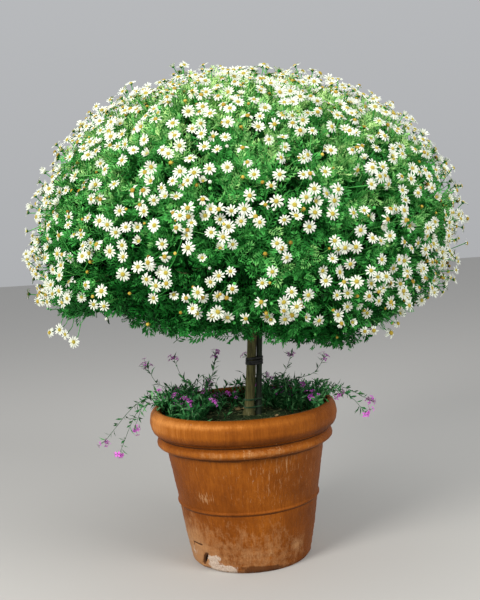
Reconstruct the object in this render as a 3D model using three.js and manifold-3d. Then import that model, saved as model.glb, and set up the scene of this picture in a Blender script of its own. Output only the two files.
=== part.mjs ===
// Potted standard marguerite daisy: a clipped round crown on one bare trunk, in a terracotta pot.
// Millimetres, +Z up, front towards -Y. The origin is the centre of the pot's foot, on the ground.

import * as THREE from 'three';
import { mergeVertices } from 'three/addons/utils/BufferGeometryUtils.js';
import Module from 'manifold-3d';

const wasm = await Module();
wasm.setup();

// Fit between pieces that touch
const GAP = 0.3;

// Pot
const POT_SIDES = 32;
const POT_WALL = 18;
const FLOOR_THICKNESS = 26;
const FOOT_RADIUS = 149;
const LOWER_RADIUS = 168;
const LOWER_HEIGHT = 80;
const RIDGE_RADIUS = 182;
const RIDGE_HEIGHT = 159;
const RIDGE_HALF_WIDTH = 6;
const BODY_TOP_RADIUS = 203;
const BODY_TOP_HEIGHT = 300;
const BAND_RADIUS = 226;
const BAND_MIDDLE_HEIGHT = 315;
const GROOVE_RADIUS = 216;
const GROOVE_HEIGHT = 331;
const ROLL_RADIUS = 240;
const ROLL_HEIGHT = 369;
const ROLL_START_ANGLE = -1.15;
const ROLL_STEPS = 5;
const RIM_HEIGHT = 400;
const MOUTH_RADIUS = 206;
const MOUTH_FOOT_HEIGHT = 345;
const DRAIN_COUNT = 3;
const DRAIN_RADIUS = 9;
const DRAIN_SIDES = 6;
const DRAIN_CIRCLE = 75;

// Radius and height of the pot's inner wall, from the middle of its floor up
const INNER_WALL = [
  [0, FLOOR_THICKNESS], [FOOT_RADIUS - POT_WALL, FLOOR_THICKNESS],
  [BODY_TOP_RADIUS - POT_WALL, BODY_TOP_HEIGHT], [MOUTH_RADIUS - 8, MOUTH_FOOT_HEIGHT],
];

// Soil
const SOIL_HEIGHT = 364;
const SOIL_EDGE_DROP = 9;

// Trunk, stake and ties
const TRUNK_SIDES = 8;
const TRUNK_RADIUS = 11.5;
const TRUNK_FLARE = 16;
const TRUNK_ROOT_HEIGHT = 215;
const TRUNK_HEAD_HEIGHT = 668;
const TRUNK_OFFSET = 14;
const TRUNK_SLOPE = 0.118;
const TRUNK_BEND = 0.000096;
const HOLE_ROOM = 0.45;
const STAKE_RADIUS = 7.5;
const STAKE_SIDES = 8;
const STAKE_FOOT = new THREE.Vector3(23, 8.5, 130);
const STAKE_TOP = new THREE.Vector3(57.7, 8.5, 622);
const TAPE_HEIGHT = 505;
const TAPE_WIDTH = 20;
const STRING_HEIGHTS = [386, 406];
const STRING_WIDTH = 4;
const TIE_THICKNESS = 2;
const TIE_CLEARANCE = 0.8;

// Crown: a flattened dome that leans with the trunk, measured to the leaf tips' mean surface.
// Its lower part hangs out further on the left than on the right, its right shoulder is flatter,
// and its lower edge has a hollow at the front left and droops at the front right.
const CROWN_CENTRE = new THREE.Vector3(44, 0, 812);
const CROWN_LEAN = THREE.MathUtils.degToRad(3.5);
const CROWN_RADIUS = 498;
const CROWN_UP = 382;
const CROWN_DOWN = 330;
const CROWN_POWER = 2.3;
const CROWN_SAG = 0.16;
const CROWN_SAG_TOP = THREE.MathUtils.degToRad(14);
const CROWN_SHOULDER = 0.035;
const CROWN_LOWEST = THREE.MathUtils.degToRad(-23);
const HOLLOW_AZIMUTH = THREE.MathUtils.degToRad(-138);
const HOLLOW_WIDTH = THREE.MathUtils.degToRad(34);
const HOLLOW_RISE = THREE.MathUtils.degToRad(5);
const DROOP_AZIMUTH = THREE.MathUtils.degToRad(-50);
const DROOP_WIDTH = THREE.MathUtils.degToRad(26);
const DROOP_FALL = THREE.MathUtils.degToRad(5);

// Leafy boughs: a thin twiggy core under the leaf surface, and rosettes of cut leaves on it
const BOUGH_COUNT = 7;
const CAP_ELEVATION = THREE.MathUtils.degToRad(56);
const CORE_DEPTH = 62;
const CORE_THICKNESS = 16;
const CAP_THICKNESS = 24;
const CORE_LUMP = 6;
const CORE_COLUMNS = 6;
const CORE_ROWS = 9;
const CAP_SIDES = 7;
const CAP_RINGS = 4;
const CAP_GAP = 0.02;
const TUFT_SHORTEST = 48;
const TUFT_LONGEST = 84;
const TUFT_STEPS = [1, 0.8, 0.62, 0.45, 0.3];
const INNER_TUFT = 40;
const INNER_INSET = 0.05;
const INNER_COARSENESS = 3;
const BOUGH_GAP = 5;
const BRANCH_RADIUS = 5;
const BRANCH_SIDES = 5;
const BRANCH_STEPS = 4;
const BRANCH_SEAT = 10;
const BRANCH_START_REACH = 70;
const BRANCH_START_RISE = 60;
const BRANCH_END_REACH = 90;
const BRANCH_LOWEST_START = 632;
const BRANCH_LOWEST_TIP = 0.3;
const ROSETTE_COUNT = 16;
const ROSETTE_TRIES = 30;
const ROSETTE_LEAVES = 5;
const LEAF_LENGTH = 82;
const LEAF_STEM_RADIUS = 2.2;

// Flower sprays
const SPRAY_COUNT = 30;
const SPRAY_LOWEST = THREE.MathUtils.degToRad(-17);
const SPRAY_HUB_HEIGHT = -42;
const SPRAY_HUB_RADIUS = 5;
const SPRAY_REACH = 104;
const SPRAY_FOOT_DEPTH = CORE_DEPTH + 7.5 + SPRAY_HUB_HEIGHT;
const SPRAY_FOOT_RADIUS = 2.4;
const SPRAY_TRIES = 16;
const BLOOMS_ON_SPRAY = 9;
const BLOOM_RADIUS = 22;
const BLOOM_HEIGHT = 34;
const BLOOM_PETALS = 5;
const BLOOM_DROOP = 4;
const STALK_RADIUS = 1.3;

// Small plants at the pot's rim
const EDGE_PLANTS = [
  { azimuth: 178, reach: 120, drop: 95 },
  { azimuth: 128, reach: 60, drop: -75 },
  { azimuth: 62, reach: 70, drop: -60 },
  { azimuth: 8, reach: 95, drop: 40 },
  { azimuth: 222, reach: 0, drop: -22 },
];
const EDGE_ROOT_RADIUS = 178;
const EDGE_ROOT_LENGTH = 30;
const EDGE_STEMS = 3;
const EDGE_STEM_RADIUS = 1.6;
const EDGE_STEM_FAN = 0.42;
const EDGE_CROSSING_REACH = 40;
const EDGE_LEAVES = 3;
const EDGE_LEAF_LENGTH = 40;
const EDGE_LEAF_WIDTH = 8;
const EDGE_LEAF_THICKNESS = 2.2;
const EDGE_CROWN_RADIUS = 6;
const FLORETS = 3;
const FLORET_RADIUS = 7.5;
const FLORET_PETALS = 4;
const FLORET_REACH = 38;
const FLORET_RISE = 13;

const GOLDEN_ANGLE = Math.PI * (3 - Math.sqrt(5));

const COLOURS = {
  terracotta: 0xb4622f,
  soil: 0x2d2118,
  bark: 0x6a4b35,
  stake: 0x2b2521,
  tape: 0x141414,
  string: 0x2f6a3c,
  leaf: 0x2f7026,
  petal: 0xf4f2e6,
  edgeLeaf: 0x41703a,
  edgeFlower: 0xa23fae,
};

// Seeded draws, so that every build grows the same plant
function seededDraw(seed) {
  let state = seed >>> 0;
  return () => {
    state = (state + 0x6d2b79f5) >>> 0;
    let mixed = Math.imul(state ^ (state >>> 15), state | 1);
    mixed ^= mixed + Math.imul(mixed ^ (mixed >>> 7), mixed | 61);
    return ((mixed ^ (mixed >>> 14)) >>> 0) / 2 ** 32;
  };
}

function spread(draw, middle, range) {
  return middle + (draw() * 2 - 1) * range;
}

// Closed meshes as solids that can be joined and cut
function solidFromArrays(points, faces) {
  const vertProperties = new Float32Array(points.flatMap((point) => [point.x, point.y, point.z]));
  const triVerts = new Uint32Array(faces.flat());
  return new wasm.Manifold(new wasm.Mesh({ numProp: 3, vertProperties, triVerts }));
}

function solidFromGeometry(source) {
  let geometry = source.clone();
  geometry.deleteAttribute('normal');
  geometry.deleteAttribute('uv');
  geometry = mergeVertices(geometry, 1e-4);
  const vertProperties = new Float32Array(geometry.attributes.position.array);
  const index = Array.from(geometry.index.array);
  const triVerts = [];
  for (let i = 0; i < index.length; i += 3) {
    const [a, b, c] = index.slice(i, i + 3);
    if (a !== b && b !== c && c !== a) {
      triVerts.push(a, b, c);
    }
  }
  const mesh = new wasm.Mesh({ numProp: 3, vertProperties, triVerts: new Uint32Array(triVerts) });
  return new wasm.Manifold(mesh);
}

function geometryFromSolid(solid) {
  const mesh = solid.getMesh();
  const positions = [];
  for (let i = 0; i < mesh.vertProperties.length; i += mesh.numProp) {
    positions.push(...mesh.vertProperties.slice(i, i + 3));
  }
  const geometry = new THREE.BufferGeometry();
  geometry.setAttribute('position', new THREE.Float32BufferAttribute(positions, 3));
  geometry.setIndex(Array.from(mesh.triVerts));
  return geometry;
}

// A cut can leave loose scraps: the largest body stays
function largestBody(solid) {
  const bodies = solid.decompose();
  bodies.sort((a, b) => b.volume() - a.volume());
  return bodies[0];
}

function overlaps(a, b) {
  return a.intersect(b).volume() > 0;
}

// What is already placed, as solids with a little room round them
const placed = [];

function claim(solid) {
  const box = solid.boundingBox();
  placed.push({ solid, box });
}

function isClear(solid) {
  const box = solid.boundingBox();
  const near = placed.filter((other) => [0, 1, 2].every(
    (i) => box.min[i] < other.box.max[i] && box.max[i] > other.box.min[i],
  ));
  return near.every((other) => !overlaps(solid, other.solid));
}

const plant = new THREE.Group();

function addPiece(name, geometry, colour, roughness) {
  const flat = geometry.index ? geometry.toNonIndexed() : geometry;
  flat.computeVertexNormals();
  const material = new THREE.MeshStandardMaterial({ color: colour, roughness, metalness: 0 });
  const mesh = new THREE.Mesh(flat, material);
  mesh.name = name;
  plant.add(mesh);
}

function lathe(profile, sides) {
  const points = profile.map(([radius, height]) => new THREE.Vector2(radius, height));
  const geometry = new THREE.LatheGeometry(points, sides);
  geometry.rotateX(Math.PI / 2);
  return geometry;
}

// The crown's surface, as a distance from its centre along a direction
function crownDistance(azimuth, elevation) {
  const across = Math.cos(elevation) / CROWN_RADIUS;
  const along = Math.abs(Math.sin(elevation)) / (elevation > 0 ? CROWN_UP : CROWN_DOWN);
  const dome = (across ** CROWN_POWER + along ** CROWN_POWER) ** (-1 / CROWN_POWER);
  const lumps = 0.016 * Math.sin(3 * azimuth + 0.6) + 0.012 * Math.sin(5 * azimuth + 4 * elevation + 2);
  const sag = CROWN_SAG * Math.max(0, CROWN_SAG_TOP - elevation) * Math.cos(azimuth);
  const rise = Math.max(0, Math.sin(2 * elevation));
  const shoulder = CROWN_SHOULDER * Math.max(0, Math.cos(azimuth)) * rise;
  return dome * (1 + lumps * Math.cos(elevation) - sag - shoulder);
}

// 1 at the middle of a stretch of the crown's circle, fading to 0 away from it
function nearness(azimuth, middle, width) {
  const fullTurn = 2 * Math.PI;
  const away = THREE.MathUtils.euclideanModulo(azimuth - middle + Math.PI, fullTurn) - Math.PI;
  return Math.exp(-((away / width) ** 2));
}

function crownLowest(azimuth) {
  const hollow = HOLLOW_RISE * nearness(azimuth, HOLLOW_AZIMUTH, HOLLOW_WIDTH);
  return CROWN_LOWEST + hollow - DROOP_FALL * nearness(azimuth, DROOP_AZIMUTH, DROOP_WIDTH);
}

const crownTurn = new THREE.Matrix4().makeRotationY(CROWN_LEAN);

function crownPoint(azimuth, elevation, height) {
  const distance = crownDistance(azimuth, elevation) + height;
  const point = new THREE.Vector3(
    distance * Math.cos(elevation) * Math.cos(azimuth),
    distance * Math.cos(elevation) * Math.sin(azimuth),
    distance * Math.sin(elevation),
  );
  return point.applyMatrix4(crownTurn).add(CROWN_CENTRE);
}

function crownNormal(azimuth, elevation) {
  const step = 0.02;
  const limit = Math.PI / 2 - step;
  const level = Math.min(elevation, limit);
  const east = crownPoint(azimuth + step, level, 0).sub(crownPoint(azimuth - step, level, 0));
  const north = crownPoint(azimuth, level + step, 0).sub(crownPoint(azimuth, level - step, 0));
  return east.cross(north).normalize();
}

// Elevations that share the dome's area evenly, from the top down to the lowest
function evenElevation(share, lowest) {
  const steps = 120;
  const side = Math.PI / 2;
  const sums = [0];
  const top = Math.PI / 2;
  for (let i = 0; i < steps; i += 1) {
    const a = top + ((lowest - top) * i) / steps;
    const b = top + ((lowest - top) * (i + 1)) / steps;
    const ra = crownDistance(side, a);
    const rb = crownDistance(side, b);
    const across = (ra * Math.cos(a) + rb * Math.cos(b)) / 2;
    const slant = Math.hypot(ra * Math.cos(a) - rb * Math.cos(b), ra * Math.sin(a) - rb * Math.sin(b));
    sums.push(sums[i] + across * slant);
  }
  const wanted = share * sums[steps];
  const index = sums.findIndex((sum) => sum >= wanted);
  return top + ((lowest - top) * index) / steps;
}

// A place on the crown with its own axes: out, and two across
function placeOnCrown(azimuth, elevation, turn) {
  const out = crownNormal(azimuth, elevation);
  const across = new THREE.Vector3(0, 0, 1).cross(out);
  if (across.length() < 0.05) {
    across.set(0, 1, 0);
  }
  across.normalize();
  across.applyAxisAngle(out, turn);
  return { out, across };
}

// The star of a bloom or of a leaf rosette, grown from a triangle of its stem
function growStar(points, faces, root, centre, axis, star) {
  const first = points.length;
  const middle = new THREE.Vector3();
  root.forEach((index) => middle.addScaledVector(points[index], 1 / root.length));
  const base = centre.clone().addScaledVector(axis, -star.thickness);
  const across = points[root[0]].clone().sub(middle);
  across.addScaledVector(axis, -across.dot(axis)).normalize();
  const side = axis.clone().cross(across);
  const stemAngles = [0, 1, 2].map((i) => (i * 2 * Math.PI) / 3);
  stemAngles.forEach((angle) => {
    const point = base.clone();
    point.addScaledVector(across, star.stemRadius * Math.cos(angle));
    point.addScaledVector(side, star.stemRadius * Math.sin(angle));
    points.push(point);
  });
  root.forEach((index, i) => {
    const next = (i + 1) % 3;
    faces.push([index, root[next], first + next]);
    faces.push([index, first + next, first + i]);
  });
  const ring = first + 3;
  star.outline.forEach(({ angle, radius, rise }) => {
    const turned = angle + star.turn;
    const point = centre.clone().addScaledVector(axis, rise);
    point.addScaledVector(across, radius * Math.cos(turned));
    point.addScaledVector(side, radius * Math.sin(turned));
    points.push(point);
  });
  const count = star.outline.length;
  const top = ring + count;
  points.push(centre.clone().addScaledVector(axis, star.crownRise));
  const ringAngle = (i) => star.outline[i % count].angle + star.turn + (i >= count ? 2 * Math.PI : 0);
  const started = Math.round((ringAngle(0) * 3) / (2 * Math.PI));
  const stemAngle = (j) => ((started + j) * 2 * Math.PI) / 3;
  const stemIndex = (j) => first + ((((started + j) % 3) + 3) % 3);
  let i = 0;
  let j = 0;
  while (i < count || j < 3) {
    const nextRing = i < count ? ringAngle(i + 1) : Infinity;
    const nextStem = j < 3 ? stemAngle(j + 1) : Infinity;
    if (nextRing <= nextStem) {
      faces.push([ring + i, stemIndex(j), ring + ((i + 1) % count)]);
      i += 1;
    } else {
      faces.push([stemIndex(j), stemIndex(j + 1), ring + (i % count)]);
      j += 1;
    }
  }
  for (let k = 0; k < count; k += 1) {
    faces.push([top, ring + k, ring + ((k + 1) % count)]);
  }
}

// A bloom's petals: tips and the notches between them
function petalOutline(petals, radius, droop, draw) {
  const outline = [];
  for (let i = 0; i < petals; i += 1) {
    const angle = (i * 2 * Math.PI) / petals;
    const half = Math.PI / petals;
    outline.push({ angle, radius: radius * spread(draw, 1, 0.06), rise: -droop * draw() });
    outline.push({ angle: angle + half, radius: radius * 0.5, rise: -0.4 });
  }
  return outline;
}

// A rosette of leaves, each cut into a tip and two side lobes
function leafOutline(leaves, length, droop, draw) {
  const cuts = [
    { at: 0, reach: 1, drop: 1 },
    { at: 0.13, reach: 0.56, drop: 0.45 },
    { at: 0.26, reach: 0.76, drop: 0.62 },
    { at: 0.5, reach: 0.2, drop: 0.05 },
    { at: 0.74, reach: 0.72, drop: 0.62 },
    { at: 0.87, reach: 0.54, drop: 0.45 },
  ];
  const outline = [];
  for (let i = 0; i < leaves; i += 1) {
    const own = length * spread(draw, 0.92, 0.08);
    const fall = spread(draw, droop, 7);
    cuts.forEach(({ at, reach, drop }) => {
      const angle = ((i + at) * 2 * Math.PI) / leaves;
      outline.push({ angle, radius: own * reach, rise: -fall * drop });
    });
  }
  return outline;
}

// The small knot that the stalks of a spray leave from, with one face straight down
function makeKnot(centre, axis, across, radius) {
  let geometry = new THREE.IcosahedronGeometry(radius, 0);
  geometry.deleteAttribute('normal');
  geometry.deleteAttribute('uv');
  geometry = mergeVertices(geometry, 1e-3);
  const index = Array.from(geometry.index.array);
  const position = geometry.attributes.position;
  const corners = [];
  for (let i = 0; i < position.count; i += 1) {
    corners.push(new THREE.Vector3().fromBufferAttribute(position, i));
  }
  const faces = [];
  for (let i = 0; i < index.length; i += 3) {
    faces.push(index.slice(i, i + 3));
  }
  const faceMiddle = (face) => new THREE.Vector3()
    .add(corners[face[0]]).add(corners[face[1]]).add(corners[face[2]]).normalize();
  const upright = new THREE.Quaternion().setFromUnitVectors(faceMiddle(faces[0]), axis);
  const points = corners.map((corner) => corner.clone().applyQuaternion(upright));
  const spin = new THREE.Quaternion();
  const reference = points[faces[0][0]].clone();
  reference.addScaledVector(axis, -reference.dot(axis)).normalize();
  const angle = Math.atan2(reference.clone().cross(across).dot(axis), reference.dot(across));
  spin.setFromAxisAngle(axis, angle);
  points.forEach((point) => point.applyQuaternion(spin).add(centre));
  const tilt = (face) => {
    const middle = new THREE.Vector3();
    face.forEach((i) => middle.addScaledVector(points[i], 1 / 3));
    return middle.sub(centre).normalize();
  };
  const side = axis.clone().cross(across);
  const sorted = faces.map((face) => {
    const way = tilt(face);
    const level = Math.round(way.dot(axis) * 50);
    return { face, way, level, around: Math.atan2(way.dot(side), way.dot(across) + 1e-3) };
  });
  sorted.sort((a, b) => b.level - a.level || a.around - b.around);
  return { points, sorted };
}

// A spray: a main stalk, a knot, and stalks that end in blooms
function makeSpray(place, options, draw) {
  const { hub, foot, grow } = options;
  const axis = place.out;
  const knot = makeKnot(hub, axis, place.across, options.knotRadius + grow);
  const points = knot.points;
  const faces = [];
  const blooming = options.blooms;
  knot.sorted.forEach(({ face, way }, rank) => {
    if (rank < blooming) {
      const level = way.dot(axis);
      const outward = way.clone().addScaledVector(axis, -level);
      const ring = level > 0.9 ? 0 : level > 0.6 ? 1 : 2;
      if (outward.length() > 0.01) {
        outward.normalize();
      }
      outward.applyAxisAngle(axis, spread(draw, 0, 0.22));
      const reach = options.reach * spread(draw, [0, 0.5, 0.98][ring], [0, 0.08, 0.12][ring]);
      const rise = spread(draw, options.rise, options.riseRange);
      const centre = hub.clone().addScaledVector(axis, rise).addScaledVector(outward, reach);
      const facing = axis.clone().addScaledVector(outward, [0, 0.16, 0.32][ring]);
      facing.add(new THREE.Vector3(spread(draw, 0, 0.12), spread(draw, 0, 0.12), spread(draw, 0.12, 0.12)));
      facing.normalize();
      const radius = options.bloomRadius * spread(draw, 1, 0.05) + grow;
      growStar(points, faces, face, centre, facing, {
        outline: petalOutline(options.petals, radius, options.droop, draw),
        turn: draw() * 2 * Math.PI,
        stemRadius: options.stalkRadius + grow / 2,
        thickness: options.bloomRadius * 0.24 + grow,
        crownRise: options.bloomRadius * 0.16 + grow,
      });
    } else if (rank < knot.sorted.length - 1) {
      faces.push(face);
    } else {
      const start = points.length;
      const middle = new THREE.Vector3();
      face.forEach((i) => middle.addScaledVector(points[i], 1 / 3));
      const narrow = (options.footRadius + grow) / points[face[0]].distanceTo(middle);
      face.forEach((i) => {
        const offset = points[i].clone().sub(middle).multiplyScalar(narrow);
        points.push(foot.clone().add(offset));
      });
      face.forEach((i, k) => {
        const next = (k + 1) % 3;
        faces.push([i, face[next], start + next]);
        faces.push([i, start + next, start + k]);
      });
      faces.push([start, start + 1, start + 2]);
    }
  });
  return solidFromArrays(points, faces);
}

// Pot
function makePot() {
  const outside = [
    [0, 0], [FOOT_RADIUS, 0], [FOOT_RADIUS + 5, 8], [LOWER_RADIUS, LOWER_HEIGHT],
    [RIDGE_RADIUS - 2.5, RIDGE_HEIGHT - RIDGE_HALF_WIDTH], [RIDGE_RADIUS + 0.5, RIDGE_HEIGHT],
    [RIDGE_RADIUS - 1, RIDGE_HEIGHT + RIDGE_HALF_WIDTH], [BODY_TOP_RADIUS, BODY_TOP_HEIGHT],
    [BAND_RADIUS - 5, BODY_TOP_HEIGHT + 6], [BAND_RADIUS, BAND_MIDDLE_HEIGHT],
    [GROOVE_RADIUS, GROOVE_HEIGHT],
  ];
  const roll = [];
  const rollReach = (ROLL_RADIUS - MOUTH_RADIUS) / 2;
  for (let i = 0; i <= ROLL_STEPS; i += 1) {
    const angle = ROLL_START_ANGLE + (i * (Math.PI - ROLL_START_ANGLE)) / ROLL_STEPS;
    const radius = ROLL_RADIUS - rollReach + rollReach * Math.cos(angle);
    roll.push([radius, ROLL_HEIGHT + (RIM_HEIGHT - ROLL_HEIGHT) * Math.sin(angle)]);
  }
  const inside = [...INNER_WALL].reverse();
  let pot = solidFromGeometry(lathe([...outside, ...roll, ...inside], POT_SIDES));
  for (let i = 0; i < DRAIN_COUNT; i += 1) {
    const angle = ((i + 0.25) * 2 * Math.PI) / DRAIN_COUNT;
    const drain = new THREE.CylinderGeometry(DRAIN_RADIUS, DRAIN_RADIUS, 3 * FLOOR_THICKNESS, DRAIN_SIDES);
    drain.rotateX(Math.PI / 2);
    drain.translate(DRAIN_CIRCLE * Math.cos(angle), DRAIN_CIRCLE * Math.sin(angle), 0);
    pot = pot.subtract(solidFromGeometry(drain));
  }
  return pot;
}

// Soil, which fills the pot and carries plain holes for all that stands in it
function makeSoil(standing) {
  const side = GAP / Math.cos(Math.PI / POT_SIDES) + 0.15;
  const filled = INNER_WALL.map(([radius, height]) => [Math.max(0, radius - side), height]);
  filled[0][1] += GAP;
  filled[1][1] += GAP;
  const edge = filled[3][0] + 1.5;
  const profile = [...filled, [edge, SOIL_HEIGHT - SOIL_EDGE_DROP], [0, SOIL_HEIGHT]];
  let soil = solidFromGeometry(lathe(profile, POT_SIDES));
  standing.forEach((solid) => {
    soil = soil.subtract(solid);
  });
  return largestBody(soil);
}

// The trunk's line, which leans to the right and straightens as it rises
function trunkLean(height) {
  const rise = height - SOIL_HEIGHT;
  return TRUNK_OFFSET + TRUNK_SLOPE * rise - TRUNK_BEND * rise * rise;
}

function makeTrunk(grow) {
  const profile = [
    [0, TRUNK_ROOT_HEIGHT - grow], [TRUNK_FLARE + 4 + grow, TRUNK_ROOT_HEIGHT - grow],
    [TRUNK_FLARE + grow, SOIL_HEIGHT - 4], [TRUNK_RADIUS + 1 + grow, SOIL_HEIGHT + 11],
    [TRUNK_RADIUS + grow, SOIL_HEIGHT + 40], [TRUNK_RADIUS - 0.5 + grow, 500],
    [TRUNK_RADIUS - 0.5 + grow, 605], [TRUNK_RADIUS + 3 + grow, 634],
    [TRUNK_RADIUS + 1 + grow, TRUNK_HEAD_HEIGHT], [0, TRUNK_HEAD_HEIGHT + 9],
  ];
  const geometry = lathe(profile, TRUNK_SIDES);
  const position = geometry.attributes.position;
  for (let i = 0; i < position.count; i += 1) {
    position.setX(i, position.getX(i) + trunkLean(position.getZ(i)));
  }
  return solidFromGeometry(geometry);
}

function roundSection(radius, sides) {
  const outline = [];
  for (let i = 0; i < sides; i += 1) {
    const angle = (i * 2 * Math.PI) / sides;
    outline.push(new THREE.Vector2(radius * Math.cos(angle), radius * Math.sin(angle)));
  }
  return new THREE.Shape(outline);
}

function tube(curve, radius, sides, steps) {
  const options = { steps, bevelEnabled: false, extrudePath: curve };
  return solidFromGeometry(new THREE.ExtrudeGeometry(roundSection(radius, sides), options));
}

// One branch from the trunk's head to the underside of a bough
function branchCurve(azimuth, elevation, startHeight, further) {
  const seat = -CORE_DEPTH - CORE_THICKNESS + BRANCH_SEAT + further;
  const tip = crownPoint(azimuth, elevation, seat);
  const near = crownPoint(azimuth, elevation, seat - BRANCH_END_REACH);
  const start = new THREE.Vector3(trunkLean(startHeight), 0, startHeight);
  const bend = new THREE.Vector3(tip.x - start.x, tip.y - start.y, 0).setLength(BRANCH_START_REACH);
  bend.add(start).add(new THREE.Vector3(0, 0, BRANCH_START_RISE));
  return new THREE.CubicBezierCurve3(start, bend, near, tip);
}

const boughs = [];
for (let i = 0; i < BOUGH_COUNT; i += 1) {
  const from = (i * 2 * Math.PI) / BOUGH_COUNT;
  boughs.push({ name: `bough_${i + 1}`, from, to: from + (2 * Math.PI) / BOUGH_COUNT, leader: false });
}
boughs.push({ name: 'bough_top', from: 0, to: 2 * Math.PI, leader: true });

function boughBranch(bough, index, further) {
  if (bough.leader) {
    return branchCurve(Math.PI, 1.35, TRUNK_HEAD_HEIGHT - 6, further);
  }
  const middle = (bough.from + bough.to) / 2;
  const tip = BRANCH_LOWEST_TIP + 0.12 * (index % 3);
  return branchCurve(middle, tip, BRANCH_LOWEST_START + 8 * (index % 4), further);
}

// The wavy line between two boughs
function boundary(azimuth, elevation) {
  return azimuth + 0.07 * Math.sin(4 * elevation + 3 * azimuth);
}

function tuftLength(draw) {
  return TUFT_SHORTEST + (TUFT_LONGEST - TUFT_SHORTEST) * draw();
}

// A pointed tuft of leaf on one triangle of the core, shortened until it is clear of what stands there
function growTuft(points, faces, [a, b, c], length, draw) {
  const share = [0, 1, 2].map(() => 0.25 + draw());
  const total = share[0] + share[1] + share[2];
  const base = new THREE.Vector3();
  [a, b, c].forEach((index, i) => base.addScaledVector(points[index], share[i] / total));
  const way = base.clone().sub(CROWN_CENTRE).normalize();
  const tuftFaces = [[0, 2, 1], [0, 1, 3], [1, 2, 3], [2, 0, 3]];
  const clear = TUFT_STEPS.find((step) => {
    const corners = [points[a], points[b], points[c], base.clone().addScaledVector(way, length * step)];
    return length < 0 || isClear(solidFromArrays(corners, tuftFaces));
  });
  if (clear === undefined) {
    faces.push([a, b, c]);
    return;
  }
  points.push(base.addScaledVector(way, length * clear));
  const tip = points.length - 1;
  faces.push([a, b, tip], [b, c, tip], [c, a, tip]);
}

// Closes the edge between a fine outer loop and a coarse inner loop
function closeEdge(faces, outer, inner) {
  const ratio = outer.length / inner.length;
  inner.forEach((corner, j) => {
    for (let k = 0; k < ratio; k += 1) {
      faces.push([outer[j * ratio + k], corner, outer[(j * ratio + k + 1) % outer.length]]);
    }
    faces.push([outer[((j + 1) * ratio) % outer.length], corner, inner[(j + 1) % inner.length]]);
  });
}

// The loop round a grid, counter-clockwise from its first corner
function gridLoop(rows) {
  const last = rows.length - 1;
  const loop = [...rows[0]];
  rows.slice(1).forEach((line) => loop.push(line[line.length - 1]));
  loop.push(...rows[last].slice(0, -1).reverse());
  rows.slice(1, last).reverse().forEach((line) => loop.push(line[0]));
  return loop;
}

// A side bough's core: a thin curved slab, tufted finely outside and coarsely inside
function makeSideCore(bough, draw) {
  const points = [];
  const faces = [];
  const outerRows = [];
  const innerRows = [];
  const rowStep = (CAP_ELEVATION - CROWN_LOWEST) / CORE_ROWS;
  for (let row = 0; row <= CORE_ROWS; row += 1) {
    const elevation = CROWN_LOWEST + rowStep * row;
    const gap = BOUGH_GAP / 2 / (crownDistance(bough.from, elevation) * Math.cos(elevation));
    const from = boundary(bough.from, elevation) + gap;
    const to = boundary(bough.to, elevation) - gap;
    const outerLine = [];
    const innerLine = [];
    for (let column = 0; column <= CORE_COLUMNS; column += 1) {
      const within = row > 0 && row < CORE_ROWS && column > 0 && column < CORE_COLUMNS;
      const jitter = within ? 0.25 : 0;
      const across = (column + spread(draw, 0, jitter)) / CORE_COLUMNS;
      const azimuth = from + (to - from) * across;
      const rise = (crownLowest(azimuth) - CROWN_LOWEST) * (1 - row / CORE_ROWS);
      const level = elevation + rise + spread(draw, 0, jitter) * rowStep;
      points.push(crownPoint(azimuth, level, -CORE_DEPTH + spread(draw, 0, CORE_LUMP)));
      outerLine.push(points.length - 1);
      if (row % INNER_COARSENESS === 0 && column % INNER_COARSENESS === 0) {
        const inset = (1 - (2 * column) / CORE_COLUMNS) * INNER_INSET;
        points.push(crownPoint(azimuth + inset, elevation + rise, -CORE_DEPTH - CORE_THICKNESS));
        innerLine.push(points.length - 1);
      }
    }
    outerRows.push(outerLine);
    if (innerLine.length > 0) {
      innerRows.push(innerLine);
    }
  }
  for (let row = 0; row < CORE_ROWS; row += 1) {
    for (let column = 0; column < CORE_COLUMNS; column += 1) {
      const [a, b] = [outerRows[row][column], outerRows[row][column + 1]];
      const [d, c] = [outerRows[row + 1][column], outerRows[row + 1][column + 1]];
      const pair = (row + column) % 2 === 0 ? [[a, b, c], [a, c, d]] : [[a, b, d], [b, c, d]];
      pair.forEach((triangle) => growTuft(points, faces, triangle, tuftLength(draw), draw));
    }
  }
  for (let row = 0; row < innerRows.length - 1; row += 1) {
    for (let column = 0; column < innerRows[row].length - 1; column += 1) {
      const [a, b] = [innerRows[row][column], innerRows[row][column + 1]];
      const [d, c] = [innerRows[row + 1][column], innerRows[row + 1][column + 1]];
      growTuft(points, faces, [a, c, b], -INNER_TUFT, draw);
      growTuft(points, faces, [a, d, c], -INNER_TUFT, draw);
    }
  }
  closeEdge(faces, gridLoop(outerRows), gridLoop(innerRows));
  return solidFromArrays(points, faces);
}

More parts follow.
